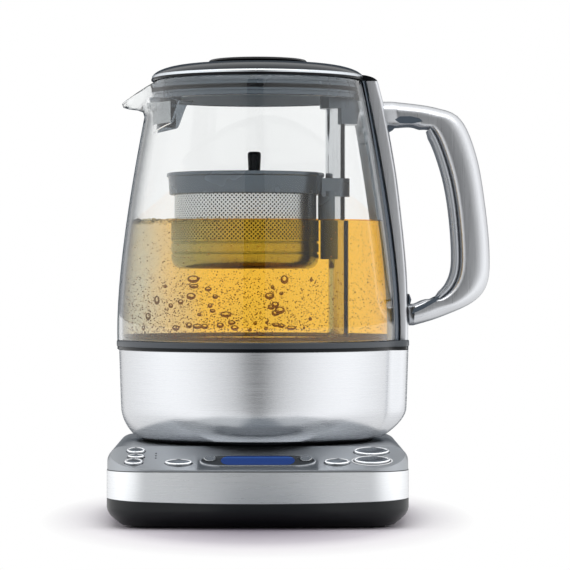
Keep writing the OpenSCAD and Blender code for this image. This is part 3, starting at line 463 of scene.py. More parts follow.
class Form:
    """A mesh being shaped, in millimetres."""

    # An edge between faces that meet at more than this angle stays sharp
    SHARP = math.radians(40)

    def __init__(self) -> None:
        """Starts with nothing in the mesh."""
        self.bm = bmesh.new()

    @classmethod
    def lathe(cls, profile: Profile, steps: int = 144, centre: float = 0.0, closed: bool = False) -> "Form":
        """Turns a profile round an upright axis.

        Args:
            profile: radius and height of each point.
            steps: how many steps the turn takes.
            centre: the axis's x.
            closed: joins the last point to the first.

        Returns:
            The turned form.
        """
        form = cls()
        bm = form.bm
        verts = [bm.verts.new((r, 0, z)) for r, z in profile]
        for a, b in zip(verts, verts[1:]):
            bm.edges.new((a, b))
        if closed:
            bm.edges.new((verts[-1], verts[0]))
        bmesh.ops.spin(
            bm,
            geom=bm.verts[:] + bm.edges[:],
            cent=(0, 0, 0),
            axis=(0, 0, 1),
            angle=math.tau,
            steps=steps,
            use_merge=True,
        )
        form.close()
        bmesh.ops.translate(bm, vec=(centre, 0, 0), verts=bm.verts)
        return form

    @classmethod
    def loft(cls, rings: Sequence[Ring], caps: bool = True, loop: bool = False) -> "Form":
        """Bridges rings of equal length into a skin.

        Args:
            rings: closed rings of points, in order.
            caps: fills the first and the last ring.
            loop: bridges the last ring to the first.

        Returns:
            The lofted form.
        """
        form = cls()
        loops = [form.draw(ring) for ring in rings]
        for a, b in list(zip(loops, loops[1:])) + ([(loops[-1], loops[0])] if loop else []):
            bmesh.ops.bridge_loops(form.bm, edges=a + b)
        if caps and not loop:
            for edges in (loops[0], loops[-1]):
                bmesh.ops.contextual_create(form.bm, geom=edges)
        return form.close()

    @classmethod
    def plate(cls, outline: Profile, low: float, high: float, edge: float = 0.0, steps: int = 3) -> "Form":
        """Extrudes a flat outline and rounds its upper edge.

        Args:
            outline: x and y of each point.
            low: height of the underside.
            high: height of the top.
            edge: radius of the upper edge.
            steps: segments of the rounding.

        Returns:
            The plate.
        """
        form = cls()
        form.bm.faces.new([form.bm.verts.new(p) for p in level(outline, low)])
        form.thicken(high - low)
        if edge:
            form.bevel([e for e in form.bm.edges if all(v.co.z > high - 1e-6 for v in e.verts)], edge, steps)
        return form.close()

    def draw(self, points: Ring) -> Edges:
        """Draws a closed line through points."""
        verts = [self.bm.verts.new(p) for p in points]
        return [self.bm.edges.new((a, b)) for a, b in zip(verts, verts[1:] + verts[:1])]

    def fill(self, edges: Edges, normal: Vector = UP) -> "Form":
        """Fills between closed lines with triangles."""
        bmesh.ops.triangle_fill(self.bm, use_beauty=True, use_dissolve=False, edges=edges, normal=normal)
        return self

    def thicken(self, rise: float) -> "Form":
        """Extrudes the faces upwards."""
        self.carry(bmesh.ops.extrude_face_region(self.bm, geom=self.bm.faces[:]), UP * rise)
        return self

    def wall(self, edges: Edges, step: Vector) -> "Form":
        """Draws walls out of edges by a step."""
        self.carry(bmesh.ops.extrude_edge_only(self.bm, edges=edges), step)
        return self

    def carry(self, made: dict, step: Vector) -> None:
        """Moves what an extrusion made by a step."""
        verts = [v for v in made["geom"] if isinstance(v, bmesh.types.BMVert)]
        bmesh.ops.translate(self.bm, vec=step, verts=verts)

    def flat(self, normal: Vector = UP) -> bmesh.types.BMFace:
        """Gives the largest face that looks along a normal."""
        return max((f for f in self.bm.faces if f.normal.dot(normal) > 0.999), key=lambda f: f.calc_area())

    def bevel(self, edges: Sequence[bmesh.types.BMEdge], size: float, steps: int = 3) -> "Form":
        """Rounds edges."""
        bmesh.ops.bevel(
            self.bm,
            geom=list(edges),
            offset=size,
            offset_type="OFFSET",
            segments=steps,
            profile=0.5,
            affect="EDGES",
            material=-1,
            clamp_overlap=True,
        )
        return self

    def close(self) -> "Form":
        """Merges doubles and points the faces outwards."""
        bmesh.ops.remove_doubles(self.bm, verts=self.bm.verts, dist=1e-4)
        bmesh.ops.recalc_face_normals(self.bm, faces=self.bm.faces)
        return self

    def move(self, matrix: Matrix) -> "Form":
        """Turns and places the form."""
        bmesh.ops.transform(self.bm, matrix=matrix, verts=self.bm.verts)
        return self

    def map(self, place: Callable[[Vector], Vector]) -> "Form":
        """Moves each point to where a rule puts it."""
        for v in self.bm.verts:
            v.co = place(v.co.copy())
        return self

    def join(self, other: "Form") -> "Form":
        """Takes in another form's mesh."""
        mesh = bpy.data.meshes.new("part")
        other.bm.to_mesh(mesh)
        other.bm.free()
        self.bm.from_mesh(mesh)
        bpy.data.meshes.remove(mesh)
        return self

    def uv(self, place: Callable[[Vector], tuple[float, float]], turn: float = math.inf) -> "Form":
        """Lays out the form's own map.

        Args:
            place: gives the map's two numbers, in mm, for a point.
            turn: the map's width where it goes once round, in mm.

        Returns:
            The form.
        """
        layer = self.bm.loops.layers.uv.new("UVMap")
        for face in self.bm.faces:
            spots = [place(loop.vert.co) for loop in face.loops]
            wraps = max(u for u, _ in spots) - min(u for u, _ in spots) > 0.47 * turn
            for loop, (u, v) in zip(face.loops, spots):
                loop[layer].uv = (u + (turn if wraps and u < 0 else 0), v)
        return self

    def finish(
        self, name: str, finish: str, body: str, nodes: Sequence[str] = (), slot: str = ""
    ) -> bpy.types.Object:
        """Writes the mesh as a dressed piece that rides on its body.

        Args:
            name: the piece's name.
            finish: key of its finish.
            body: CAD body that carries it.
            nodes: CAD nodes that it stands for.
            slot: not used.

        Returns:
            The piece.
        """
        bm = self.bm
        for edge in bm.edges:
            edge.smooth = not (len(edge.link_faces) == 2 and edge.calc_face_angle(0) > self.SHARP)
        for face in bm.faces:
            face.smooth = True
        bmesh.ops.scale(bm, vec=(MM, MM, MM), verts=bm.verts)
        mesh = bpy.data.meshes.new(name)
        bm.to_mesh(mesh)
        bm.free()
        piece = stand(name, mesh)
        mesh.materials.append(finish_of(finish))
        even = piece.modifiers.new("even_flats", "WEIGHTED_NORMAL")
        even.keep_sharp = True
        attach(piece, body)
        if nodes:
            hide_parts(*nodes)
        log.info("%s: %d faces, on %s", name, len(mesh.polygons), body)
        return piece


def level(line: Profile, z: float) -> Ring:
    """Puts a flat line at a height."""
    return [(x, y, z) for x, y in line]


def turned(r: float, angles: Sequence[float], x: float = 0.0, y: float = 0.0) -> Line:
    """Gives points at angles in radians on a circle round x and y."""
    return [(x + r * math.cos(a), y + r * math.sin(a)) for a in angles]


def around(reach: Callable[[float], tuple[float, float]]) -> Ring:
    """Gives a ring of points 2 degrees apart round the jug's axis.

    Args:
        reach: gives radius and height at an angle from the handle, in degrees from -178 to 180.

    Returns:
        The ring.
    """
    ring = []
    for i in range(180):
        angle = 2 * i - 360 if i > 90 else 2 * i
        r, z = reach(angle)
        ring.append((r * math.cos(math.radians(angle)), r * math.sin(math.radians(angle)), z))
    return ring


def off(r: float, z: float, *steps: tuple[float, float]) -> Line:
    """Gives points by their steps from one point."""
    return [(r + dr, z + dz) for dr, dz in steps]


def bezier(p: Profile, n: int) -> Line:
    """Gives n + 1 points on a cubic Bezier curve."""
    line = []
    for i in range(n + 1):
        t = i / n
        w = ((1 - t) ** 3, 3 * (1 - t) ** 2 * t, 3 * (1 - t) * t * t, t**3)
        line.append((sum(k * q[0] for k, q in zip(w, p)), sum(k * q[1] for k, q in zip(w, p))))
    return line


def spline(p: Profile, n: int) -> Line:
    """Gives a smooth line through points, n steps to a span."""
    line = []
    for i in range(len(p) - 1):
        a, b, c, d = (Vector(p[max(0, min(len(p) - 1, i + k))]) for k in (-1, 0, 1, 2))
        for k in range(n + (i == len(p) - 2)):
            t = k / n
            v = 0.5 * (
                2 * b + (c - a) * t + (2 * a - 5 * b + 4 * c - d) * t * t + (3 * b - a - 3 * c + d) * t**3
            )
            line.append((v.x, v.y))
    return line


def smooth(t: float) -> float:
    """Eases a share from 0 to 1."""
    k = min(1.0, max(0.0, t))
    return k * k * (3 - 2 * k)


def along(line: Profile, z: float) -> float:
    """Gives the first value of a line at a height, between its points."""
    pts = sorted(line, key=lambda p: p[1])
    if z <= pts[0][1]:
        return pts[0][0]
    for (a, za), (b, zb) in zip(pts, pts[1:]):
        if z <= zb:
            return a + (b - a) * (z - za) / (zb - za)
    return pts[-1][0]


def pill(length: float, height: float, steps: int = 12) -> Line:
    """Gives the outline of a bar with round ends."""
    r, s = height / 2, (length - height) / 2
    return turned(r, arc(-90, 90, steps), s) + turned(r, arc(90, 270, steps), -s)


def oval(length: float, height: float, steps: int = 14) -> Line:
    """Gives the outline of an oval whose ends are a little pointed."""
    line = []
    for i in range(4 * steps):
        c, s = math.cos(math.tau * i / (4 * steps)), math.sin(math.tau * i / (4 * steps))
        line.append((length / 2 * c, height / 2 * math.copysign(abs(s) ** 1.12, s)))
    return line


def eye_bar(length: float, height: float, end: float, steps: int = 14) -> Line:
    """Gives the outline of a bar with long oval ends."""
    x = length / 2 - end
    right = [(x + end * math.cos(a), height / 2 * math.sin(a)) for a in arc(-90, 90, 2 * steps)]
    return right + [(-px, -py) for px, py in right]


def arc(first: float, last: float, steps: int) -> list[float]:
    """Gives angles in radians from first to last, in degrees."""
    return [math.radians(first + (last - first) * i / steps) for i in range(steps + 1)]


# ---- Power base ----


@dataclass(frozen=True)
class Key:
    """A button: its name, its middle across and up the panel, its length and its height."""

    name: str
    x: float
    v: float
    length: float
    height: float

    @property
    def small(self) -> bool:
        """Says whether it is one of the two round ones beside the display."""
        return self.name.startswith("select")


@dataclass
class PowerBase:
    """The base: silver casing with its sloping panel, steel fascia, black skirt, display and buttons."""

    width: float = 165.0
    front: float = 92.0
    back: float = 82.0
    corner: float = 22.0
    bow: float = 3.0
    deck_z: float = 43.5
    panel_z: float = 31.8
    panel_run: float = 27.0
    skirt_top: float = 13.2
    skirt_z: float = 1.2
    skirt_bevel: float = 8.5
    edge: float = 8.0
    fascia: float = 1.2
    wall_in: float = 0.3
    corner_rise: float = 1.9
    display: tuple[float, float] = (63.0, 12.6)
    lens: tuple[float, float] = (39.0, 8.6)
    display_v: float = -3.4
    key_gap: float = 0.35
    key_proud: float = 1.3

    KEYS = (
        Key("hour", -66.4, 8.6, 10.0, 6.4),
        Key("minute", -66.2, 1.6, 9.0, 4.2),
        Key("clock", -67.2, -4.8, 10.0, 6.4),
        Key("timer", -42.83, -5.6, 14.8, 6.5),
        Key("select_left", -26.0, -1.2, 6.6, 6.6),
        Key("select_right", 26.0, -1.2, 6.6, 6.6),
        Key("warm", 42.83, -5.0, 14.0, 6.8),
        Key("brew", 62.0, 7.6, 19.4, 9.0),
        Key("start", 62.0, -3.0, 19.8, 9.0),
    )
    # The minute button's hole is this much wider, so that less of its rim meets the casing when it is pressed
    MINUTE_EXTRA = 0.3

    @property
    def side_y(self) -> float:
        """Where the fascia ends at the sides."""
        return -self.front + self.corner + 12

    @property
    def slope(self) -> float:
        """Slope of the panel, in radians."""
        return math.atan2(self.deck_z - self.panel_z, self.panel_run)

    def on_panel(self) -> Matrix:
        """Gives the place of the panel: x across, y up the slope, z out of it."""
        middle = (0, -self.front + self.panel_run / 2, (self.deck_z + self.panel_z) / 2)
        return Matrix.Translation(middle) @ Matrix.Rotation(self.slope, 4, "X")

    def bow_y(self, x: float, inset: float) -> float:
        """Gives the front edge's y at an x."""
        r = ((self.width / 2) ** 2 + self.bow**2) / (2 * self.bow)
        return r - self.front - math.sqrt((r - inset) ** 2 - x * x)

    def outline(self, inset: float) -> Line:
        """Gives the base's outline in plan, drawn in by inset."""
        r = max(self.corner - inset, 1)
        x = self.width / 2 - inset - r
        f, b = self.bow_y(x, inset) + r, self.back - inset - r
        line = [(x * i / 8, self.bow_y(x * i / 8, inset)) for i in range(-8, 9)]
        for cx, cy, a in ((x, f, -90), (x, b, 0), (-x, b, 90), (-x, f, 180)):
            line += turned(r, arc(a, a + 90, 14), cx, cy)
        keep = [line[0]]
        for p in line[1:]:
            if math.dist(p, keep[-1]) > 1e-3 and math.dist(p, keep[0]) > 1e-3:
                keep.append(p)
        return keep

    def front_line(self, inset: float) -> Line:
        """Gives the front part of the outline, from one side to the other."""
        line = [p for p in self.outline(inset) if p[1] < self.side_y]
        line.sort(key=lambda p: math.atan2(p[0], -(p[1] + 30)))
        return [(line[0][0], self.side_y), *line, (line[-1][0], self.side_y)]

    def ring(self, inset: float, z: float, swept: bool = False) -> Ring:
        """Gives the outline as a ring at a height, which may sweep up at the front corners."""
        return [(x, y, z + (self.sweep(x, y) if swept else 0.0)) for x, y in self.outline(inset)]

    def sweep(self, x: float, y: float) -> float:
        """Gives how far the line under the fascia rises from the middle to the front corners."""
        return self.corner_rise * (2 * x / self.width) ** 2 * smooth((self.side_y - y) / 10)

    def build(self) -> None:
        """Builds and dresses the base."""
        self.build_casing()
        self.build_fascia()
        self.build_skirt()
        self.build_display()
        self.build_buttons()

    def build_casing(self) -> None:
        """Makes the silver casing: a rounded block cut by the panel's plane, with the buttons' holes."""
        top, r, place = self.deck_z, self.edge, self.on_panel()
        rings = [self.ring(self.wall_in, self.skirt_top + 0.1)]
        for a in arc(0, 90, 10):
            rings.append(self.ring(self.wall_in + r * (1 - math.cos(a)), top - r + r * math.sin(a)))
        form = Form.loft(rings)
        bm = form.bm
        normal = Vector((0, -math.sin(self.slope), math.cos(self.slope)))
        cut = bmesh.ops.bisect_plane(
            bm,
            geom=bm.verts[:] + bm.edges[:] + bm.faces[:],
            plane_co=place.translation,
            plane_no=normal,
            dist=1e-5,
            clear_outer=True,
        )
        rim = [e for e in cut["geom_cut"] if isinstance(e, bmesh.types.BMEdge)]
        bmesh.ops.contextual_create(bm, geom=rim)
        form.bevel(rim, 0.6)
        face = form.flat(normal)
        border = list(face.edges)
        bmesh.ops.delete(bm, geom=[face], context="FACES_ONLY")
        holes: Edges = []
        for key in self.KEYS:
            if not key.small:
                gap = 2 * self.key_gap + (self.MINUTE_EXTRA if key.name == "minute" else 0.0)
                holes += self.hole(form, oval(key.length + gap, key.height + gap), key.x, key.v)
        holes += self.hole(form, eye_bar(self.display[0] - 3, self.display[1] - 2, 12), 0, self.display_v)
        form.fill(border + holes, normal)
        form.wall(holes, place.to_3x3() @ Vector((0, 0, -3)))
        form.finish("casing", "satin_silver", "power_base", ["deck_shell"])

    def hole(self, form: Form, outline: Profile, x: float, v: float) -> Edges:
        """Draws a hole's outline on the panel.

        Args:
            form: the casing.
            outline: the hole's outline.
            x: its place across the panel.
            v: its place up the slope.

        Returns:
            The outline's edges.
        """
        place = self.on_panel()
        return form.draw([place @ Vector((x + px, v + py, 0)) for px, py in outline])

    def build_fascia(self) -> None:
        """Makes the brushed band round the front and the dark seam above it."""
        low, high = self.skirt_top + 0.9, self.panel_z - 0.85
        for name, finish, slot, out, z0, z1, nodes in (
            ("fascia", "brushed_band", "brushed_band", 0.0, low, high, ["front_fascia"]),
            ("fascia_seam", "seam_black", "black_skirt", 0.18, self.panel_z - 0.83, self.panel_z - 0.4, []),
        ):
            form = Form()
            line = self.front_line(out) + self.front_line(self.fascia)[::-1]
            verts = [form.bm.verts.new(p) for p in level(line, z0)]
            form.bm.faces.new(verts)
            form.thicken(z1 - z0)
            for v in verts if nodes else ():
                v.co.z += self.sweep(v.co.x, v.co.y)
            form.close().finish(name, finish, "power_base", nodes, slot)

    def build_skirt(self) -> None:
        """Makes the black skirt with its bevelled lower edge."""
        b, z, top = self.skirt_bevel, self.skirt_z, self.skirt_top + 0.8
        rings = [self.ring(b + 20, z), self.ring(b + 0.4, z), self.ring(b - 0.6, z + 0.25)]
        for inset, rise in ((0.52, 0.34), (0.2, 0.66), (0.05, 0.92), (0.0, 1.15)):
            rings.append(self.ring(b * inset, z + b * rise))
        rings += [self.ring(0, top - 0.4, True), self.ring(0.4, top, True), self.ring(3.5, top, True)]
        Form.loft(rings).finish("skirt", "black_skirt", "power_base", ["base_skirt"])

    def build_display(self) -> None:
        """Makes the blue window in its dark pill-shaped frame, with a chrome line round it."""
        place = self.on_panel() @ Matrix.Translation((0, self.display_v, 0))
        length, height = self.display
        rim = Form.plate(eye_bar(length, height, 12), -0.9, 0.62, 0.3)
        top = rim.flat()
        bmesh.ops.inset_region(rim.bm, faces=[top], thickness=0.55, depth=0, use_even_offset=True)
        bmesh.ops.delete(rim.bm, geom=[top], context="FACES")
        rim.move(place).finish("display_rim", "key_chrome", "power_base")
        plate = self.plate_with_holes().move(place)
        plate.finish("display_plate", "display_dark", "power_base", ["display_frame"])
        lens = Form.plate(pill(self.lens[0] + 1.2, self.lens[1] + 1.6, 16), -1.3, 0.8, 0.35)
        lens.uv(lambda p: (p.x, p.y))
        window = lens.move(place).finish("display_window", "display_blue", "power_base", ["display_lens"])
        # Hidden from reflections; a grey card over the display, a painted reflection, shows in its stead
        window.visible_glossy = False

    def plate_with_holes(self) -> Form:
        """Makes the display's dark plate, open for its two buttons."""
        form = Form()
        length, height = self.display
        edges = form.draw(level(eye_bar(length - 1.0, height - 1.0, 11.6), 0.5))
        for key in (k for k in self.KEYS if k.small):
            size, v = key.length + 2 * self.key_gap, key.v - self.display_v
            edges += form.draw([(key.x + px, v + py, 0.5) for px, py in oval(size, size)])
        return form.fill(edges).wall(edges, UP * -1.2).close()

    def build_buttons(self) -> None:
        """Makes the nine buttons: chrome rims round darker dished faces, and what is drawn beside them."""
        for key in self.KEYS:
            place = self.on_panel() @ Matrix.Translation((key.x, key.v, 0))
            rim = Form.plate(oval(key.length, key.height), -3.2, self.key_proud, 0.5, 4)
            top = rim.flat()
            bmesh.ops.inset_region(rim.bm, faces=[top], thickness=0.25, use_even_offset=True)
            bmesh.ops.inset_region(rim.bm, faces=[top], thickness=0.25, depth=-0.3, use_even_offset=True)
            slot = "key_chrome" if key.small or key.name == "start" else "key_silver"
            rim.move(place).finish(f"{key.name}_rim", "key_chrome", f"{key.name}_button", [f"{key.name}_key"], slot)
            inner = oval(key.length - 2.3, key.height - 2.3)
            rings = [level(inner, self.key_proud - 0.9)]
            for share, rise in ((1.0, 0.0), (0.97, 0.22), (0.84, 0.36), (0.6, 0.44), (0.3, 0.47)):
                rings.append([(px * share, py * share, self.key_proud - 0.3 + rise) for px, py in inner])
            finish = "key_chrome" if key.small else "key_silver"
            Form.loft(rings).move(place).finish(f"{key.name}_face", finish, f"{key.name}_button", (), slot)
        dots = Form()
        for v in (6.2, 3.4, 0.6):
            dot = Form.plate(oval(1.0, 1.2, 6), -0.3, 0.14, 0.1, 1)
            dots.join(dot.move(self.on_panel() @ Matrix.Translation((-55.4, v, 0))))
        dots.finish("panel_dots", "seam_black", "power_base", (), "black_skirt")
        start = self.KEYS[-1]
        light = Form()
        edges: Edges = []
        for grow in (0.55, 1.35):
            edges += light.draw(level(oval(start.length + 2 * grow, start.height + 2 * grow), 0.05))
        bmesh.ops.bridge_loops(light.bm, edges=edges)
        light.thicken(0.25).close().move(self.on_panel() @ Matrix.Translation((start.x, start.v, 0)))
        light.finish("start_light_ring", "lit_ring", "power_base", (), "key_chrome")


# ---- Jug ----


@dataclass
class Jug:
    """The jug: steel cup with its bump, seal band, glass with its spout, post, column and handle."""

    r_base: float = 80.0
    r_rim: float = 60.6
    rim_z: float = 247.5
    wall: float = 2.6
    foot_z: float = 43.6
    foot_r: float = 65.0
    cup_top: float = 95.0
    cup_r: float = 79.0
    cup_low: float = 15.5
    bump_x: float = 85.9
    band_z: float = 95.1
    band_h: float = 5.4
    reach: float = 17.0
    dip: float = 12.0
    spout_half: float = 13.0
    spout_h: float = 20.0
    bump_half: float = 20.0
    bump_ease: float = 6.5
    cup_sheet: float = 1.0
    column: float = 5.4
    column_w: float = 23.0
    handle_w: float = 26.0
    liner: float = 3.4
    tea_z: float = 168.0
    tea_gap: float = 0.22
    band_in: float = 77.4

    # How far the column swells out past its even thickness, in mm, at heights up the glass
    SWELL = ((-0.3, 117.0), (0.6, 138.0), (1.4, 168.0), (2.4, 194.0), (2.6, 220.0), (2.5, 236.0), (1.8, 246.0))

    # The handle's lines, in mm: out from the column's even thickness, and down from the glass's rim
    HANDLE_OUT = (
        (8.2, 11.3), (31.4, 14.5), (45.3, 21.3), (50.6, 42.9), (50.8, 73),
        (49.5, 99.5), (46.2, 115.9), (36.9, 126), (17.6, 134.5), (3.1, 138.9),
    )
    HANDLE_IN = (
        (8.3, 26.1), (18.2, 26.1), (25.1, 32.3), (28.9, 51.7), (29.6, 73),
        (28.2, 97.5), (25.5, 110.5), (18.8, 119.5), (6.7, 125.3), (3.9, 126.5),
    )

    # Painted shade: outlines of dark plates in the recesses at the handle's arms, as x and z
    TOP_PAINTED_SHADE = (
        (77.6, 225.4), (80.5, 227.2), (86.5, 227.3), (91.5, 226.2), (93.4, 224.4), (88.0, 223.2), (80.5, 223.2),
    )
    LOW_PAINTED_SHADE = (
        (87.0, 115.2), (88.4, 118.6), (94.0, 121.2), (100.5, 124.6), (103.4, 126.0), (101.0, 122.4), (94.0, 118.4),
    )
    # Painted dark reflection: outline of a dark wedge at the lower arm's join, as x and z
    LOW_PAINTED_WEDGE = ((85.6, 118.0), (86.8, 121.8), (87.2, 123.4), (86.0, 126.6))

    @property
    def band_top(self) -> float:
        """Height of the seal band's top."""
        return self.band_z + self.band_h

    def glass_line(self, n: int = 12) -> Line:
        """Gives the glass's outer line, foot to rim."""
        z = self.band_top + 0.1
        mid = [(self.r_base + 0.9, z + 31), (self.r_rim + 13.6, self.rim_z - 66)]
        return bezier([(self.r_base, z), *mid, (self.r_rim, self.rim_z)], n)

    def glass_ring(self, r: float, z: float) -> Ring:
        """Gives a ring of the glass, drawn out into the spout near the rim."""

        def reach(angle: float) -> tuple[float, float]:
            """Gives radius and height at an angle from the handle."""
            bell = math.exp(-(((180 - abs(angle)) / self.spout_half) ** 2))
            bell *= smooth((z - self.rim_z + self.spout_h) / self.spout_h)
            return r + self.reach * bell, z - self.dip * bell

        return around(reach)

    def bump(self, angle: float) -> float:
        """Gives the share of the bump at an angle from the handle, in degrees."""
        return smooth((self.bump_half - abs(angle)) / self.bump_ease)

    def cup_radius(self, h: float) -> float:
        """Gives the cup's radius at a height above its foot."""
        if h > self.cup_low + 4:
            return self.cup_r - 1.2 + 1.2 * (h - self.cup_low) / (self.cup_top - self.foot_z - self.cup_low)
        curve = math.sin(math.radians(min(90, 90 * h / (self.cup_low + 4)))) ** 0.62
        return self.foot_r + (self.cup_r - 1.1 - self.foot_r) * curve

    def cup_ring(self, h: float, inset: float = 0.0) -> Ring:
        """Gives a ring of the cup, with the share of the bump at its height."""
        r = self.cup_radius(h) - inset
        out = (self.bump_x - self.cup_r) * smooth((h + 6) / 24)
        return around(lambda angle: (r + out * self.bump(angle), self.foot_z + h))

    def build(self) -> None:
        """Builds and dresses the jug."""
        self.build_cup()
        self.build_band()
        self.build_glass()
        self.build_column()
        self.build_handle()
        self.build_painted_shade()
        self.build_tea()

    def build_cup(self) -> None:
        """Makes the brushed steel cup, open at its top, and the black ring under it."""
        heights = (2.2, 2.5, 3.1, 4, 5.5, 7, 9, 11, 13, 15, 17, 19.5, 22, 26, 34, 44, 50.6, 51.4)
        rings = [self.cup_ring(h) for h in heights] + [self.cup_ring(h, self.cup_sheet) for h in heights[::-1]]
        Form.loft(rings, caps=False, loop=True).finish("cup", "jug_steel", "jug", ["steel_cup"])
        foot = (-4, 0.15), (0.2, 0.15), (1.2, 0.9), (1.9, 2.0), (1.9, 2.7), (-4, 2.7)
        profile = off(self.foot_r, self.foot_z, *foot)
        Form.lathe(profile, closed=True).finish("cup_foot", "knob_black", "jug", (), "black_skirt")

    def band_ring(self, z: float, proud: float) -> Ring:
        """Gives a ring of the seal band at a height."""

        def reach(angle: float) -> tuple[float, float]:
            """Gives radius and height at an angle from the handle."""
            k = self.bump(angle)
            return (1 - k) * self.r_base + k * self.bump_x + proud, z

        return around(reach)

    def build_band(self) -> None:
        """Makes the grey seal band and the black lip under it, which paints the shade in the gap below the band."""
        z, top = self.band_z, self.band_top
        band = off(z, 0.0, (1.9, -0.6), (2.0, 0.2), (2.3, 0.4))
        band += off(top, 0.0, (-0.9, 0.4), (-0.35, 0.25), (-0.05, -0.1))
        lip = off(z, 0.0, (0.0, -0.5), (0.3, 0.0), (1.85, 0.0))
        # The black ring under the band is painted shade in the gap below it
        for name, finish, rings, inner, nodes in (
            ("seal_band", "seal_grey", band, (top, z + 1.9), ["seal_band"]),
            ("seal_gap_painted_shade", "knob_black", lip, (z + 1.85, z), []),
        ):
            skin = [self.band_ring(h, proud) for h, proud in rings]
            skin += [around(lambda _, h=h: (self.band_in, h)) for h in inner]
            Form.loft(skin, caps=False, loop=True).finish(name, finish, "jug", nodes, "seal_grey")

    def build_glass(self) -> None:
        """Makes the glass wall with its rounded rim and its spout."""
        line = self.glass_line(48)
        r, z = line[-1]
        rim = off(r, z, (-0.1, -0.8), (-0.7, -0.15), (-1.3, 0), (-1.9, -0.15), (-2.5, -0.8))
        inner = [(r - self.wall, z) for r, z in line[-2::-1]]
        rings = [self.glass_ring(r, z) for r, z in line[:-1] + rim + inner]
        Form.loft(rings, caps=False, loop=True).finish("glass", "clear_glass", "jug", ["glass_wall"])

    def side(self, z: float) -> float:
        """Gives the glass's radius at a height."""
        return along(self.glass_line(24), z)

    def tea_r(self, z: float) -> float:
        """Gives the tea's radius at a height."""
        return self.side(z) - self.wall - self.tea_gap

    def build_column(self) -> None:
        """Makes the satin column up the glass, the slate gasket under it and a grey strip behind it, a painted
        reflection of the column seen bent through the glass's edge.
        """
        z0, z1, w = self.band_top + 0.1, self.rim_z - 0.2, self.column_w / 2
        metal, gasket, shade = [], [], []
        for i in range(25):
            z = z0 + (z1 - z0) * i / 24
            glass = self.side(z)
            x0 = glass + 0.25
            x1 = x0 + self.column + along(self.SWELL, z)
            half = [(x0 + 0.4, 0), (x0 + 0.4, w - 0.3), (x0 + 0.7, w)]
            half += off(x1, w, (-2.0, 0), (-1.0, -0.4), (-0.3, -1.4), (0, -3)) + [(x1, 0)]
            metal.append(level(half + [(x, -y) for x, y in half[-2:0:-1]], z))
            reach = 11.5 + 3.5 * smooth((self.rim_z - 6 - z) / 60)
            back, front = arc(-reach, reach, 14), arc(reach - 0.4, 0.4 - reach, 14)
            gasket.append(level(turned(x0 - 0.22, back) + turned(x0 + 0.34, front), z))
            # Painted reflection: a grey strip inside the glass where the column's image shows through its edge
            if z < self.rim_z - 10:
                near, far = (glass - self.wall - k for k in (1.5, 0.9))
                shade.append(level(turned(near, arc(-21, 21, 14)) + turned(far, arc(20.6, -20.6, 14)), z))
        Form.loft(metal).finish("column", "handle_steel", "jug", ["handle_column"])
        for rings, name, finish in ((gasket, "column_gasket", "slate_gasket_and_painted_shade"), (shade, "column_painted_reflection", "painted_pale_grey")):
            Form.loft(rings).finish(name, finish, "jug", (), "liner_grey").visible_glossy = False

    def handle_lines(self) -> tuple[Line, Line]:
        """Gives the handle's outer and inner lines from its top arm to its lower arm, as x and z."""
        lines = []
        for points in (self.HANDLE_OUT, self.HANDLE_IN):
            place = [(self.side(self.rim_z - d) + self.column + o, self.rim_z - d) for o, d in points]
            lines.append(spline(place, 6))
        return lines[0], lines[1]

    def handle_ring(self, o: Vector, i: Vector, w: float, n: int) -> Ring:
        """Gives a D-shaped ring between a point of the outer line and one of the inner line."""
        m, h = (o + i) / 2, (o - i) / 2
        ring = []
        for k in range(n):
            c, s = math.cos(math.tau * k / n), math.sin(math.tau * k / n)
            u = math.copysign(abs(c) ** (0.8 if c > 0 else 0.35), c)
            v = math.copysign(abs(s) ** (0.8 if c > 0 else 0.45), s)
            ring.append((m.x + h.x * u, w / 2 * v, m.y + h.y * u))
        return ring

    def build_handle(self) -> None:
        """Makes the handle's satin shell and the grey liner on its inner side."""
        out, inn = self.handle_lines()
        n = len(inn)
        feet = []
        for end, reach in ((0, -2.5), (n - 1, 1)):
            z = inn[end][1]
            x = self.side(z) + self.column + 0.3
            feet.append(self.handle_ring(Vector((x + reach, out[end][1])), Vector((x, z)), self.column_w - 3, 40))
        body, liner = [], []
        for i in range(n):
            o, k = Vector(out[i]), Vector(inn[i])
            step = (o - k).normalized()
            share = smooth((i - 7.5) / 3) * smooth((n - 8.5 - i) / 3)
            body.append(self.handle_ring(o, k + step * (self.liner + 0.15) * share, self.handle_w, 40))
            if 10 <= i <= n - 11:
                ends = min(1.0, 0.25 + min(i - 10, n - 11 - i) * 0.4)
                near, far = k + step * (self.liner + 1.0), k + step * (1 - ends) * 2.4
                liner.append(self.handle_ring(near, far, self.handle_w - 2.2, 32))
        Form.loft([feet[0], *body, feet[1]]).finish("handle", "handle_steel", "jug", ["handle_shell"])
        Form.loft(liner).finish("handle_grip", "liner_grey", "jug", ["handle_liner"])

    def build_painted_shade(self) -> None:
        """Makes dark plates at the inner corners of the handle's arms: painted shade in their recesses and painted dark
        reflections at their joins.
        """
        near = self.side(218) + self.column + 0.2
        # Painted dark reflection: a dark wedge at the top arm's join
        top_painted_wedge = [(near - 1.5, 223.0), (79.0, 222.6), (77.4, 220.4)]
        top_painted_wedge += [(near + 1.8, 218.4), (near + 0.9, 216.0), (near, 214.5)]
        form = Form()
        for line, y0, y1 in (
            (self.TOP_PAINTED_SHADE, -12.75, -13.2),
            (self.TOP_PAINTED_SHADE, 12.75, 13.2),
            (self.LOW_PAINTED_SHADE, -12.75, -13.2),
            (self.LOW_PAINTED_SHADE, 12.75, 13.2),
            (top_painted_wedge, -9.0, 9.0),
            (self.LOW_PAINTED_WEDGE, -9.0, 9.0),
        ):
            form.join(Form.loft([[(x, y, z) for x, z in line] for y in (y0, y1)]))
        form.finish("handle_painted_shade", "slate_gasket_and_painted_shade", "jug", (), "liner_grey")

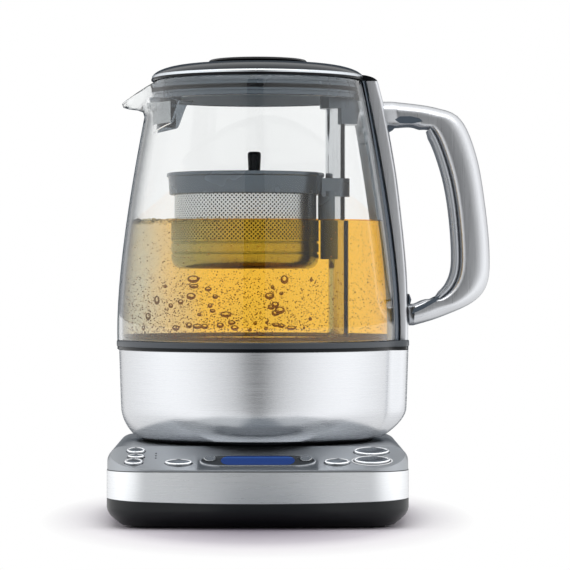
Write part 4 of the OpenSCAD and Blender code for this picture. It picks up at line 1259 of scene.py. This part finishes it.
    def build_tea(self) -> None:
        """Makes the brewed tea inside the glass, and the fine leaf that has settled at its foot."""
        floor, top = self.band_top + 0.3, self.tea_z
        foot = self.side(floor) - self.wall
        profile = [(0.0, floor), (foot - 0.5, floor)]
        for i in range(13):
            z = floor + 0.4 + (top - floor - 0.4) * i / 12
            profile.append((self.tea_r(z), z))
        edge = profile[-1][0]
        profile += off(edge, top, (-0.5, -0.5), (-1.6, -0.8)) + [(0.0, top - 0.8)]
        Form.lathe(profile, 128).finish("tea", "tea", "jug", (), "clear_glass")
        line = off(foot - 2.4, floor, (-6, 0.35), (0, 0.35), (0.2, 1.8), (-0.6, 2.6), (-6, 1.2))
        Form.lathe(line, 128, closed=True).finish("tea_dregs", "dregs", "jug", (), "clear_glass")


@dataclass
class TeaDust:
    """What floats in the tea: leaf specks by the thousand, forty bubbles, and froth at its edge."""

    jug: Jug
    specks: int = 4400
    froth: int = 420
    seed: int = 7
    # The camera's distance and height, from which the bubbles were placed
    eye: tuple[float, float] = (1602.0, 135.6)
    # The basket's middle and the radius round it that stays free of specks above a height
    basket: tuple[float, float, float] = (-7.0, 44.0, 136.0)

    # Bubbles seen at the front of the jug: across, up, width and height in mm
    BUBBLES = (
        (-36.3, 135.2, 7.6, 4.2), (-36.0, 131.1, 6.0, 2.6), (-28.0, 129.5, 4.2, 2.6), (-37.6, 125.5, 5.8, 3.9),
        (-24.0, 125.2, 3.4, 2.6), (-43.4, 122.2, 3.8, 3.0), (-48.9, 120.1, 3.4, 2.6), (-26.9, 120.1, 3.0, 2.6),
        (-25.5, 117.1, 3.4, 2.2), (-18.0, 115.1, 6.4, 3.4), (-14.7, 110.4, 4.2, 2.6), (-21.2, 108.9, 4.2, 3.0),
        (-13.1, 107.4, 4.2, 3.0), (-38.7, 108.9, 4.0, 3.4), (-34.0, 108.3, 6.0, 3.0), (-30.0, 108.3, 4.4, 3.0),
        (-46.1, 107.4, 5.2, 3.0), (15.0, 135.0, 4.4, 4.8), (30.1, 134.7, 1.9, 2.1), (8.3, 130.6, 2.1, 2.1),
        (13.3, 127.0, 2.4, 2.1), (6.6, 125.6, 5.2, 3.8), (9.8, 120.6, 4.2, 3.6), (7.6, 119.3, 4.0, 3.0),
        (12.4, 117.5, 5.6, 4.2), (9.8, 115.8, 4.0, 3.2), (29.6, 112.5, 2.1, 2.1), (10.2, 109.2, 4.2, 2.4),
        (13.2, 108.6, 4.2, 2.4), (18.9, 107.4, 5.6, 2.6), (26.1, 107.4, 1.4, 1.7), (4.6, 107.0, 2.1, 2.1),
        (-4.6, 106.1, 2.6, 1.7), (-1.5, 110.0, 2.1, 2.1), (5.0, 110.4, 1.7, 1.7), (-56.6, 123.2, 4.4, 5.0),
        (-61.4, 114.0, 5.0, 4.2), (-64.0, 107.4, 3.4, 3.0), (-52.0, 131.0, 3.0, 2.0), (-33.0, 115.0, 2.6, 2.0),
    )

    def build(self) -> None:
        """Builds and dresses the specks, the bubbles and the froth."""
        self.build_specks()
        self.build_bubbles()
        self.build_froth()

    def spot(self, form: Form, place: Vector, size: Vector, rough: int) -> None:
        """Adds a small round body.

        Args:
            form: the form that takes it.
            place: its middle.
            size: its width, depth and height.
            rough: subdivisions, 1 for the plainest.
        """
        turn = Matrix.Translation(place) @ Matrix.Diagonal((*size, 1))
        bmesh.ops.create_icosphere(form.bm, subdivisions=rough, radius=0.5, matrix=turn)

    def build_specks(self) -> None:
        """Makes the leaf specks, most of them under the basket and towards the spout."""
        dice = random.Random(self.seed)
        form, lot = Form(), Form()
        middle, free, low = self.basket
        for i in range(self.specks):
            z = self.jug.band_z + 7 + 62 * dice.random() ** 1.6
            angle = math.radians(dice.gauss(-104, 36))
            r = self.jug.tea_r(z) - 0.9 - 14 * dice.random() ** 3
            x, y = r * math.cos(angle), r * math.sin(angle)
            if z > low and (dice.random() < 0.8 or math.hypot(x - middle, y) < free):
                continue
            long = dice.uniform(0.4, 0.9)
            self.spot(lot, Vector((x, y, z)), Vector((long, long, long * dice.uniform(0.5, 1.1))), 1)
            # A lot at a time, because a large mesh takes each new speck slowly
            if i % 80 == 79:
                form.join(lot)
                lot = Form()
        form.join(lot).finish("leaf_specks", "leaf_dust", "jug", (), "clear_glass")

    def build_bubbles(self) -> None:
        """Makes the larger bubbles that cling to the front of the glass, each as a painted rim of shade round its own
        outline, thicker at its foot.
        """
        form = Form()
        far, high = self.eye
        for x, z, width, height in self.BUBBLES:
            r = self.jug.tea_r(z) - 1.4
            y = -math.sqrt(max(r * r - x * x, 4.0))
            near = 1 + y / far
            place = Matrix.Translation((x * near, y, high + (z - high) * near))
            thick = 0.3 + 0.07 * min(width, height)
            rings = []
            for i in range(16):
                c, k = math.cos(math.tau * i / 16), math.sin(math.tau * i / 16)
                # Painted shade: each rim is thicker on its lower side than on its upper
                wide = thick * (1.0 - 0.45 * k)
                ring = []
                for j in range(6):
                    out, depth = math.cos(math.tau * j / 6) * wide, math.sin(math.tau * j / 6) * 0.35
                    ring.append(((width / 2 - thick + out) * c, depth, (height / 2 - thick + out) * k))
                rings.append(ring)
            rim = Form.loft(rings, caps=False, loop=True)
            form.join(rim.move(place @ Matrix.Rotation(math.atan2(x, -y), 4, "Z")))
        form.finish("tea_bubble_painted_rims", "bubble_painted_rim", "jug", (), "clear_glass")

    def build_froth(self) -> None:
        """Makes the froth that gathers round the tea's top edge at the spout."""
        dice = random.Random(self.seed + 1)
        form, top = Form(), self.jug.tea_z
        for _ in range(self.froth):
            angle = math.radians(180 + dice.gauss(20, 34))
            r = self.jug.tea_r(top) - 0.9 - abs(dice.gauss(0, 1.6))
            size = dice.uniform(0.6, 1.7)
            place = Vector((r * math.cos(angle), r * math.sin(angle), top - 0.9 + dice.uniform(-0.9, 1.3)))
            self.spot(form, place, Vector((size, size, size * 0.7)), 2)
        form.finish("tea_froth", "froth_pale", "jug", (), "clear_glass")


# ---- Basket ----


@dataclass
class Basket:
    """The basket: perforated strainer in its grey carrier ring, with its lid and knob."""

    x: float = -7.0
    ring_r: float = 44.9
    strainer_r: float = 40.5
    top: float = 195.3
    ring_h: float = 12.4
    floor: float = 140.5
    sheet: float = 0.8
    post_x: float = 44.3
    saddle_z: float = 146.0

    def build(self) -> None:
        """Builds and dresses the basket."""
        self.build_strainer()
        self.build_ring()
        self.build_lid()

    def build_ring(self) -> None:
        """Makes the carrier ring, with the lug and the saddle that run on the post."""
        r, top, low = self.ring_r, self.top, self.top - self.ring_h
        inner, seat = self.strainer_r + 0.4, self.strainer_r + 1.9
        profile = [(inner, low + 0.3), (inner + 0.3, low), (r - 1.9, low), (r - 1.5, low + 0.4)]
        profile += off(r, top, (-0.9, -3.0), (-0.8, -2.5), (-0.3, -2.3), (0, -1.9), (0, -0.7), (-0.25, -0.2), (-0.8, 0))
        profile += off(seat, top, (0.3, 0), (0, -0.3), (0, -4)) + [(inner, top - 4)]
        form = Form.lathe(profile, 144, self.x, closed=True)
        lug, bore, saddle = 8.2, 6.0, 10.0
        px = self.post_x
        body = turned(lug, arc(-90, 90, 24), px) + [(px - 8, lug), (px - 8, 5.4)]
        body += turned(bore, arc(115, -115, 24), px) + [(px - 8, -5.4), (px - 8, -lug)]
        form.join(Form.plate(body, low - 1.0, low - 1.0 + self.ring_h - 2, 0.8))
        half = turned(saddle, arc(95, 265, 24), px) + turned(bore, arc(261, 99, 20), px)
        form.join(Form.plate(half, self.saddle_z, low + 2))
        form.finish("carrier_ring", "ring_grey", "basket", ["carrier_ring"])

    def build_lid(self) -> None:
        """Makes the basket's lid, a shallow pressed disc, and its knob."""
        z, r = self.top - 2.95, self.strainer_r + 1.5
        profile = [(0, z + 0.1)] + off(r, z, (-0.4, 0.1), (0, 0.4), (0, 0.8), (-0.4, 1.05))
        profile += off(0, z, (18, 1.2), (15, 1.5), (11, 2.4), (8, 2.5), (0, 2.5))
        Form.lathe(profile, 120, self.x).finish("basket_lid", "basket_steel", "basket_cover", ["basket_lid"])
        profile = off(0, z, (0, 2.55), (3.0, 2.55), (3.35, 3.0), (3.85, 13.4), (3.7, 14.4), (3.1, 15.0))
        profile += off(0, z, (2.2, 15.2), (0, 15.25))
        Form.lathe(profile, 48, -2.0).finish("basket_knob", "knob_black", "basket_cover", ["basket_lid_knob"])

    def build_strainer(self) -> None:
        """Makes the strainer: drawn sheet with two grooves near its rounded foot."""
        r, f, lip = self.strainer_r, self.floor, self.top - 3.9
        outer = [(0, f)] + off(r, f, (-6.5, 0), (-3.6, 0.6), (-1.6, 2.0), (-0.5, 4.2), (0, 6.6))
        for groove in (f + 8.2, f + 14.2):
            outer += off(r, groove, (0, 0), (-0.7, 0.5), (-0.7, 0.9), (0, 1.4))
        outer += [(r, lip), (r + 1.7, lip)]
        inner = [(x - self.sheet, z + (self.sheet if z < f + 1 else 0)) for x, z in outer[1:-2]]
        inner += [(r - self.sheet, lip + self.sheet)]
        profile = outer + [(r + 1.7, lip + self.sheet)] + inner[::-1] + [(0, f + self.sheet)]
        form = Form.lathe(profile, 144, self.x)
        form.uv(lambda p: (r * math.atan2(p.y, p.x - self.x), p.z), math.tau * r)
        form.finish("strainer", "sieve", "basket", ["strainer"], "basket_steel")


# ---- Lid ----


@dataclass
class Lid:
    """The lid: dark glossy dome with its round knob, the tab over the column, collar and spout filter."""

    rim_z: float = 247.5
    cap_r: float = 60.3
    cap_z: float = 247.8
    dome: float = 10.0
    knob_r: float = 28.0
    knob_z: float = 257.55
    knob_h: float = 2.5
    collar_r: float = 57.2
    collar_z: float = 236.5
    collar_t: float = 2.6
    post_x: float = 44.3
    lug_r: float = 8.9
    bore_r: float = 6.2
    mesh_z: tuple[float, float] = (222.6, 234.6)

    def build(self) -> None:
        """Builds and dresses the lid."""
        self.build_cap()
        self.build_knob()
        self.build_tab()
        self.build_collar()
        self.build_filter()

    def build_cap(self) -> None:
        """Makes the dome, the black line round its foot, painted shade in the gap under its lip, and a pale bead above
        that, a painted highlight.
        """
        r, z, top = self.cap_r, self.cap_z, self.rim_z + self.dome
        outer = off(r, z, (-0.8, 0), (-0.25, 0.2), (0, 0.8), (0, 2.0))
        outer += bezier([(r - 0.15, z + 2.6), (r - 1.8, z + 5.6), (r - 9, top - 1.6), (r - 18, top - 0.9)], 14)
        outer += bezier([(r - 18, top - 0.9), (r - 24, top - 0.4), (self.knob_r + 4, top), (self.knob_r, top)], 6)[1:]
        profile = outer + [(0, top), (0, top - 2.2), (self.knob_r, top - 2.2)]
        profile += [(r - 12, z + 5), (r - 3, z + 1.6), (r - 3, z)]
        Form.lathe(profile, 180).finish("lid_dome", "lid_grey", "lid", ["lid_cap"])
        # Painted shade: a black band in the gap under the dome's lip
        line = off(r, z, (-1.5, 0.05), (0.28, 0.05), (0.42, 0.3), (0.42, 1.0), (0.28, 1.2), (-1.5, 1.2))
        Form.lathe(line, 180, closed=True).finish("lid_gap_painted_shade", "knob_black", "lid")
        # Painted highlight: a pale polished bead that draws the bright line along the dome's shoulder
        heights = [z + 1.4 + 1.5 * k / 6 for k in range(7)]
        bead = [(along(outer, q) + 0.14 * math.sin(math.pi * k / 6), q) for k, q in enumerate(heights)]
        bead += [(along(outer, q) - 0.4, q) for q in reversed(heights)]
        Form.lathe(bead, 180, closed=True).finish("lid_painted_highlight_line", "painted_lid_highlight", "lid", (), "lid_grey")

    def build_knob(self) -> None:
        """Makes the round knob, a disc undercut at its foot and dished on top."""
        r, z, h = self.knob_r, self.knob_z, self.knob_h
        profile = [(0, z + 0.03)] + off(r, z, (-1.6, 0.03), (-1.5, 0.6), (-0.3, 0.8), (0, 1.15), (-0.15, 1.7))
        profile += off(r, z + h, (-0.8, -0.3), (-1.8, -0.05), (-3, -0.1), (-4.5, -0.35), (-r, -0.45))
        Form.lathe(profile, 144).finish("lid_knob", "knob_black", "lid", ["lid_knob"])

    def build_tab(self) -> None:
        """Makes the thin tab that slopes from the dome down over the column."""
        line = [(58.8, 251.0), (60.6, 250.9), (62.6, 250.5), (64.6, 249.9), (66.4, 249.1), (67.6, 248.2), (67.9, 247.9)]
        rings, low = [], self.cap_z + 0.02
        for x, z in line:
            y = 9.0 - 1.6 * smooth((x - 65.5) / 3)
            high = max(z, low + 0.12)
            section = ((-y, low), (y, low), (y, high - 0.1), (y - 0.5, high), (0.5 - y, high), (-y, high - 0.1))
            rings.append([(x, *point) for point in section])
        Form.loft(rings).finish("lid_tab", "knob_black", "lid", ["lid_tab"])

    def build_collar(self) -> None:
        """Makes the grooved collar with the block that takes the post's end, its arm and its paler inside, painted
        light on the collar's lit far side.
        """
        r, z0, z1 = self.collar_r, self.collar_z, self.cap_z + 0.9
        inner = r - self.collar_t
        profile = [(inner, z0 + 0.3), (inner + 0.4, z0), (r - 0.6, z0), (r, z0 + 0.5)]
        for groove in (z0 + 2.6, z0 + 5.4, z0 + 8.0):
            profile += off(r, groove, (0, -0.35), (-0.55, -0.2), (-0.55, 0.2), (0, 0.35))
        profile += [(r, z1), (inner, z1)]
        form = Form.lathe(profile, 180, closed=True)
        px, lug = self.post_x, self.lug_r
        block = turned(lug, arc(150, 210, 10), px)
        block += [(px - 4, -lug), (px + 7.2, -lug), (px + 7.2, lug), (px - 4, lug)]
        form.join(self.socket(block, self.rim_z - 15.5, z1))
        form.finish("collar", "ring_grey", "lid", ["lid_collar"])
        arm = [(px + 3.0, -9.6), (px + 15.8, -6.0), (px + 15.8, 6.0), (px + 3.0, 9.6)]
        tab = Form.plate(arm, self.rim_z - 24.5, z1 - 0.5)
        tab.map(lambda v: Vector((v.x - 3.6 * smooth((self.rim_z - v.z) / 18) * (v.x > px + 9), v.y, v.z)))
        tab.finish("collar_arm", "ring_grey", "lid", (), "lid_grey")
        # Painted light: a pale skin inside the collar, where its far side shows lit
        skin = [(inner - 0.05, z0 + 0.6), (inner - 0.05, z1), (inner - 0.5, z1), (inner - 0.5, z0 + 0.6)]
        Form.lathe(skin, 144, closed=True).finish("collar_painted_light", "painted_pale_grey", "lid", (), "lid_grey")

    def socket(self, outline: Profile, low: float, high: float) -> Form:
        """Makes a block open from below for the post's end.

        Args:
            outline: the block's outline in plan.
            low: height of its underside.
            high: height of its top.

        Returns:
            The block.
        """
        form = Form()
        bore = turned(self.bore_r, arc(0, 345, 23), self.post_x)
        edges = form.draw(level(outline, low)) + form.draw(level(bore, low))
        return form.fill(edges, -UP).thicken(high - low).close()

    def filter_r(self, angle: float) -> float:
        """Gives the filter's radius at an angle from the spout, in degrees."""
        return self.collar_r - 0.8 + 3.4 * math.exp(-((angle / 15) ** 2))

    def build_filter(self) -> None:
        """Makes the smoked filter behind the spout: a curved sheet with a meshed window."""
        r, top = self.collar_r - self.collar_t - 0.8, self.collar_z + 2.5
        rings, mesh = [], []
        foot, head = self.mesh_z
        for angle in range(-44, 46, 2):
            low = 217.4 + 5.0 * abs(angle) / 33
            low += (top - 2.0 - 222.4) * smooth((abs(angle) - 31) / 13) ** 0.8
            t, q = math.radians(180 + angle), self.filter_r(angle)
            section = [(q, low + 0.3), (q, top - 1.5), (r, top), (r - 1.3, top)]
            section += [(q - 1.3, top - 1.5), (q - 1.3, low + 0.3)]
            rings.append([(k * math.cos(t), k * math.sin(t), z) for k, z in section])
        for angle in range(-32, 36, 4):
            t, q = math.radians(180 + angle), self.filter_r(angle)
            section = (q + 0.1, foot), (q + 0.35, foot), (q + 0.35, head), (q + 0.1, head)
            mesh.append([(k * math.cos(t), k * math.sin(t), z) for k, z in section])
        Form.loft(rings).finish("spout_filter", "filter_smoke", "lid", ["spout_filter"], "lid_grey")
        sheet = Form.loft(mesh).uv(lambda p: (r * math.atan2(p.y, -p.x), p.z))
        sheet.finish("filter_mesh", "mesh_pale", "lid", (), "lid_grey")


# ---- Stage ----


NODE_FINISH = {
    "foot_ring": "foot_rubber",
    "base_screws": "zinc_screw",
    "display_module": "module_grey",
    "control_board": "board_green",
    "key_switches": "switch_grey",
    "power_board": "board_green",
    "base_socket": "connector_black",
    "socket_contacts": "contact_brass",
    "cord_gland": "foot_rubber",
    "jug_foot": "black_skirt",
    "jug_plug": "connector_black",
    "heater_plate": "inner_steel",
    "heating_element": "element_steel",
    "temperature_probe": "inner_steel",
    "jug_board": "board_green",
    "post_tube": "post_steel",
    "post_cap": "ring_grey",
    "lift_motor": "motor_steel",
    "shaft_coupling": "contact_brass",
    "lead_screw": "screw_steel",
    "magnet_sled": "sled_grey",
    "sled_magnet": "magnet_nickel",
    "handle_screws": "zinc_screw",
    "saddle_magnet": "magnet_nickel",
    "lid_seal": "foot_rubber",
}


def dress_frame() -> None:
    """Gives each CAD node that stays in view its finish."""
    for name, finish in NODE_FINISH.items():
        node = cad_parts[name]
        node.data.materials.clear()
        node.data.materials.append(finish_of(finish))
        log.info("%s: dressed as %s", name, finish)


@dataclass
class Studio:
    """Pale floor with a painted shadow round the base, white surroundings, soft lights, and the camera of the
    photograph.
    """

    lens: float = 177.3
    eye: tuple[float, float, float] = (0.0, -1.6023, 0.1356)
    yaw: float = -0.555
    pitch: float = -0.14
    glare: float = 1.6
    high_glare: float = 4.5

    WHITE = (1, 1, 1, 1)
    # What shiny surfaces show, from straight behind the object (0) round to the camera's side (1)
    SURROUND = (
        (0.0, "#3a4149"), (0.045, "#3a4149"), (0.085, "#cfcfcf"), (0.28, "#e8e8e8"), (0.5, "#ffffff"),
        (0.63, "#f8f8f8"), (0.75, "#e4e4e4"), (0.894, "#cfcfcf"), (0.963, "#ababab"), (0.992, "#939393"),
        (1.0, "#797979"),
    )

    def build(self) -> None:
        """Builds the studio."""
        bpy.context.scene.view_settings.view_transform = "Standard"
        self.build_camera()
        self.build_floor()
        self.build_world()
        self.build_lights()

    def build_camera(self) -> None:
        """Sets up the camera."""
        data = bpy.data.cameras.new("camera")
        data.lens, data.sensor_width = self.lens, 36
        camera = stand("camera", data)
        camera.location = self.eye
        camera.rotation_euler = (math.radians(90 + self.pitch), 0, math.radians(self.yaw))
        bpy.context.scene.camera = camera

    def sheet(self, name: str, place: Matrix) -> tuple[bpy.types.Object, Tree]:
        """Sets up a flat sheet of the stage.

        Args:
            name: the sheet's name.
            place: what turns a square of one metre into the sheet.

        Returns:
            The sheet and its material's empty node tree.
        """
        form = Form()
        bmesh.ops.create_grid(form.bm, x_segments=1, y_segments=1, size=0.5)
        form.move(place)
        mesh = bpy.data.meshes.new(name)
        form.bm.to_mesh(mesh)
        form.bm.free()
        material, tree = blank(name)
        mesh.materials.append(material)
        return stand(name, mesh), tree

    def build_floor(self) -> None:
        """Makes the floor: white to the eye and to reflections; it keeps the object's shadow, and a painted shadow
        darkens it round the base.
        """
        floor, tree = self.sheet("floor", Matrix.Diagonal((120, 120, 1, 1)))
        place = add(tree, "TexCoord").outputs["Object"]
        wide = add(tree, "VectorMath", {0: place, 1: (1.5, 1.0, 1.0)}, operation="MULTIPLY")
        ahead = add(tree, "VectorMath", {0: wide.outputs[0], 1: (0.0, 0.24, 0.0)}, operation="ADD")
        aim = add(tree, "VectorMath", {0: ahead.outputs[0]}, operation="NORMALIZE")
        y = add(tree, "SeparateXYZ", {0: aim.outputs[0]}).outputs["Y"]
        white = add(tree, "Emission", {"Color": self.WHITE, "Strength": 1.0})
        shine = add(tree, "Emission", {"Color": self.surround(tree, y), "Strength": self.glare})
        path = add(tree, "LightPath").outputs
        # Rays bent by glass count as glossy too, and they see the plain white floor
        mirror = maths(tree, "SUBTRACT", path["Is Glossy Ray"], path["Is Transmission Ray"])
        shown = add(tree, "MixShader", {0: mirror, 1: white.outputs[0], 2: shine.outputs[0]})
        oval_place = add(tree, "VectorMath", {0: place, 1: (2.0, 1.0, 1.0)}, operation="MULTIPLY")
        away = add(tree, "VectorMath", {0: oval_place.outputs[0]}, operation="LENGTH").outputs["Value"]
        # Painted shadow: the paper's colour darkens from pale lilac to lilac grey close round the base
        shade = ramp(tree, span(tree, away, 0.085, 0.2), ((0.0, "#8c8491"), (1.0, "#f3eef4")))
        paper = add(tree, "BsdfDiffuse", {"Color": shade})
        far = span(tree, away, 0.165, 0.245)
        both = add(tree, "MixShader", {0: far, 1: paper.outputs[0], 2: shown.outputs[0]})
        add(tree, "OutputMaterial", {"Surface": both.outputs[0]})

    def surround(self, tree: Tree, y: Socket) -> Socket:
        """Gives what shiny surfaces show in each direction: bright at the sides, grey at the camera.

        Args:
            tree: node tree that takes the nodes.
            y: how far the direction points away from the camera, from -1 to 1.

        Returns:
            The colour, for a strength of glare.
        """
        return ramp(tree, span(tree, y, 1.0, -1.0), self.SURROUND)

    def build_world(self) -> None:
        """Makes the surroundings: white to the eye, to reflections and through glass, soft light elsewhere."""
        world = bpy.data.worlds.new("studio")
        world.use_nodes = True
        tree = world.node_tree
        tree.nodes.clear()
        path = add(tree, "LightPath").outputs
        toward = add(tree, "SeparateXYZ", {0: add(tree, "TexCoord").outputs["Generated"]}).outputs
        sides = ramp(tree, span(tree, toward["Y"], 0.84, 0.985), ((0.0, "#262c34"), (1.0, "#ffffff")))
        high = span(tree, toward["Z"], 0.55, 0.8, self.glare, self.high_glare)
        before = maths(tree, "LESS_THAN", toward["Y"], -0.22)
        shine = add(tree, "Mix", {0: before, 2: self.glare, 3: high}, data_type="FLOAT")
        # Through glass the surroundings are white behind and dark at the sides, where no bounce off a surface
        # came before, or two walls at most
        clear = maths(tree, "LESS_THAN", maths(tree, "ADD", path["Diffuse Depth"], path["Glossy Depth"]), 0.5)
        straight = maths(tree, "MAXIMUM", clear, maths(tree, "LESS_THAN", path["Transmission Depth"], 2.5))
        seen = maths(tree, "MULTIPLY", path["Is Transmission Ray"], straight)
        last = add(tree, "Background", {"Color": self.WHITE, "Strength": 0.45}).outputs[0]
        for ray, colour, strength in (
            (path["Is Glossy Ray"], self.surround(tree, toward["Y"]), shine.outputs[0]),
            (path["Is Transmission Ray"], self.WHITE, 1.0),
            (seen, sides, 1.0),
            (path["Is Camera Ray"], self.WHITE, 1.0),
        ):
            light = add(tree, "Background", {"Color": colour, "Strength": strength})
            last = add(tree, "MixShader", {0: ray, 1: last, 2: light.outputs[0]}).outputs[0]
        add(tree, "OutputWorld", {"Surface": last})
        bpy.context.scene.world = world

    def build_lights(self) -> None:
        """Sets the soft lights, one at each side and one above, and the cards that reflections show."""
        for name, place, size, power in (
            ("left_light", (-1.35, -0.1, 0.45), (0.7, 1.2), 8),
            ("right_light", (1.35, -0.05, 0.45), (0.7, 1.2), 7.5),
            ("top_light", (0.0, -0.1, 1.6), (1.6, 1.4), 8),
        ):
            data = bpy.data.lights.new(name, "AREA")
            data.shape = "RECTANGLE"
            data.size, data.size_y = size
            data.energy = power
            lamp = stand(name, data)
            lamp.location = place
            lamp.rotation_euler = (Vector((0, 0, 0.13)) - Vector(place)).to_track_quat("-Z", "Y").to_euler()
            lamp.visible_glossy = lamp.visible_transmission = False
        # The card over the display is a painted reflection: a grey glow that shiny surfaces show in place of the
        # display's blue
        for name, place, tilt, size, colour in (
            ("dark_card", (-0.1, -1.95, 0.6), 90, (0.6, 2.4), "#2c3034"),
            ("painted_display_reflection", (0.0, -0.0824, 0.0393), 23.4, (0.066, 0.015), "#7d8288"),
            ("low_card", (0.006, -0.175, 0.001), 0, (0.06, 0.14), "#8d949b"),
            ("low_left", (-0.079, -0.175, 0.001), 0, (0.11, 0.14), "#dfe2e4"),
            ("low_right", (0.091, -0.175, 0.001), 0, (0.11, 0.14), "#d8dbde"),
        ):
            turn = Matrix.Rotation(math.radians(tilt), 4, "X")
            self.card(name, Matrix.Translation(place) @ turn @ Matrix.Diagonal((*size, 1, 1)), colour)

    def card(self, name: str, place: Matrix, colour: str) -> None:
        """Sets up a card that only shiny surfaces show.

        Args:
            name: the card's name.
            place: its place and size, in metres.
            colour: what it shows.
        """
        card, tree = self.sheet(name, place)
        glow = add(tree, "Emission", {"Color": linear(colour), "Strength": 1.0})
        add(tree, "OutputMaterial", {"Surface": glow.outputs[0]})
        card.visible_camera = card.visible_diffuse = card.visible_shadow = False
        card.visible_transmission = card.visible_volume_scatter = False


def main() -> None:
    """Builds the tea maker and its studio."""
    logging.basicConfig(level=logging.INFO, format="%(message)s")
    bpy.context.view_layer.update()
    PowerBase().build()
    Jug().build()
    TeaDust(Jug()).build()
    Basket().build()
    Lid().build()
    dress_frame()
    Studio().build()


if __name__ == "__main__":
    main()
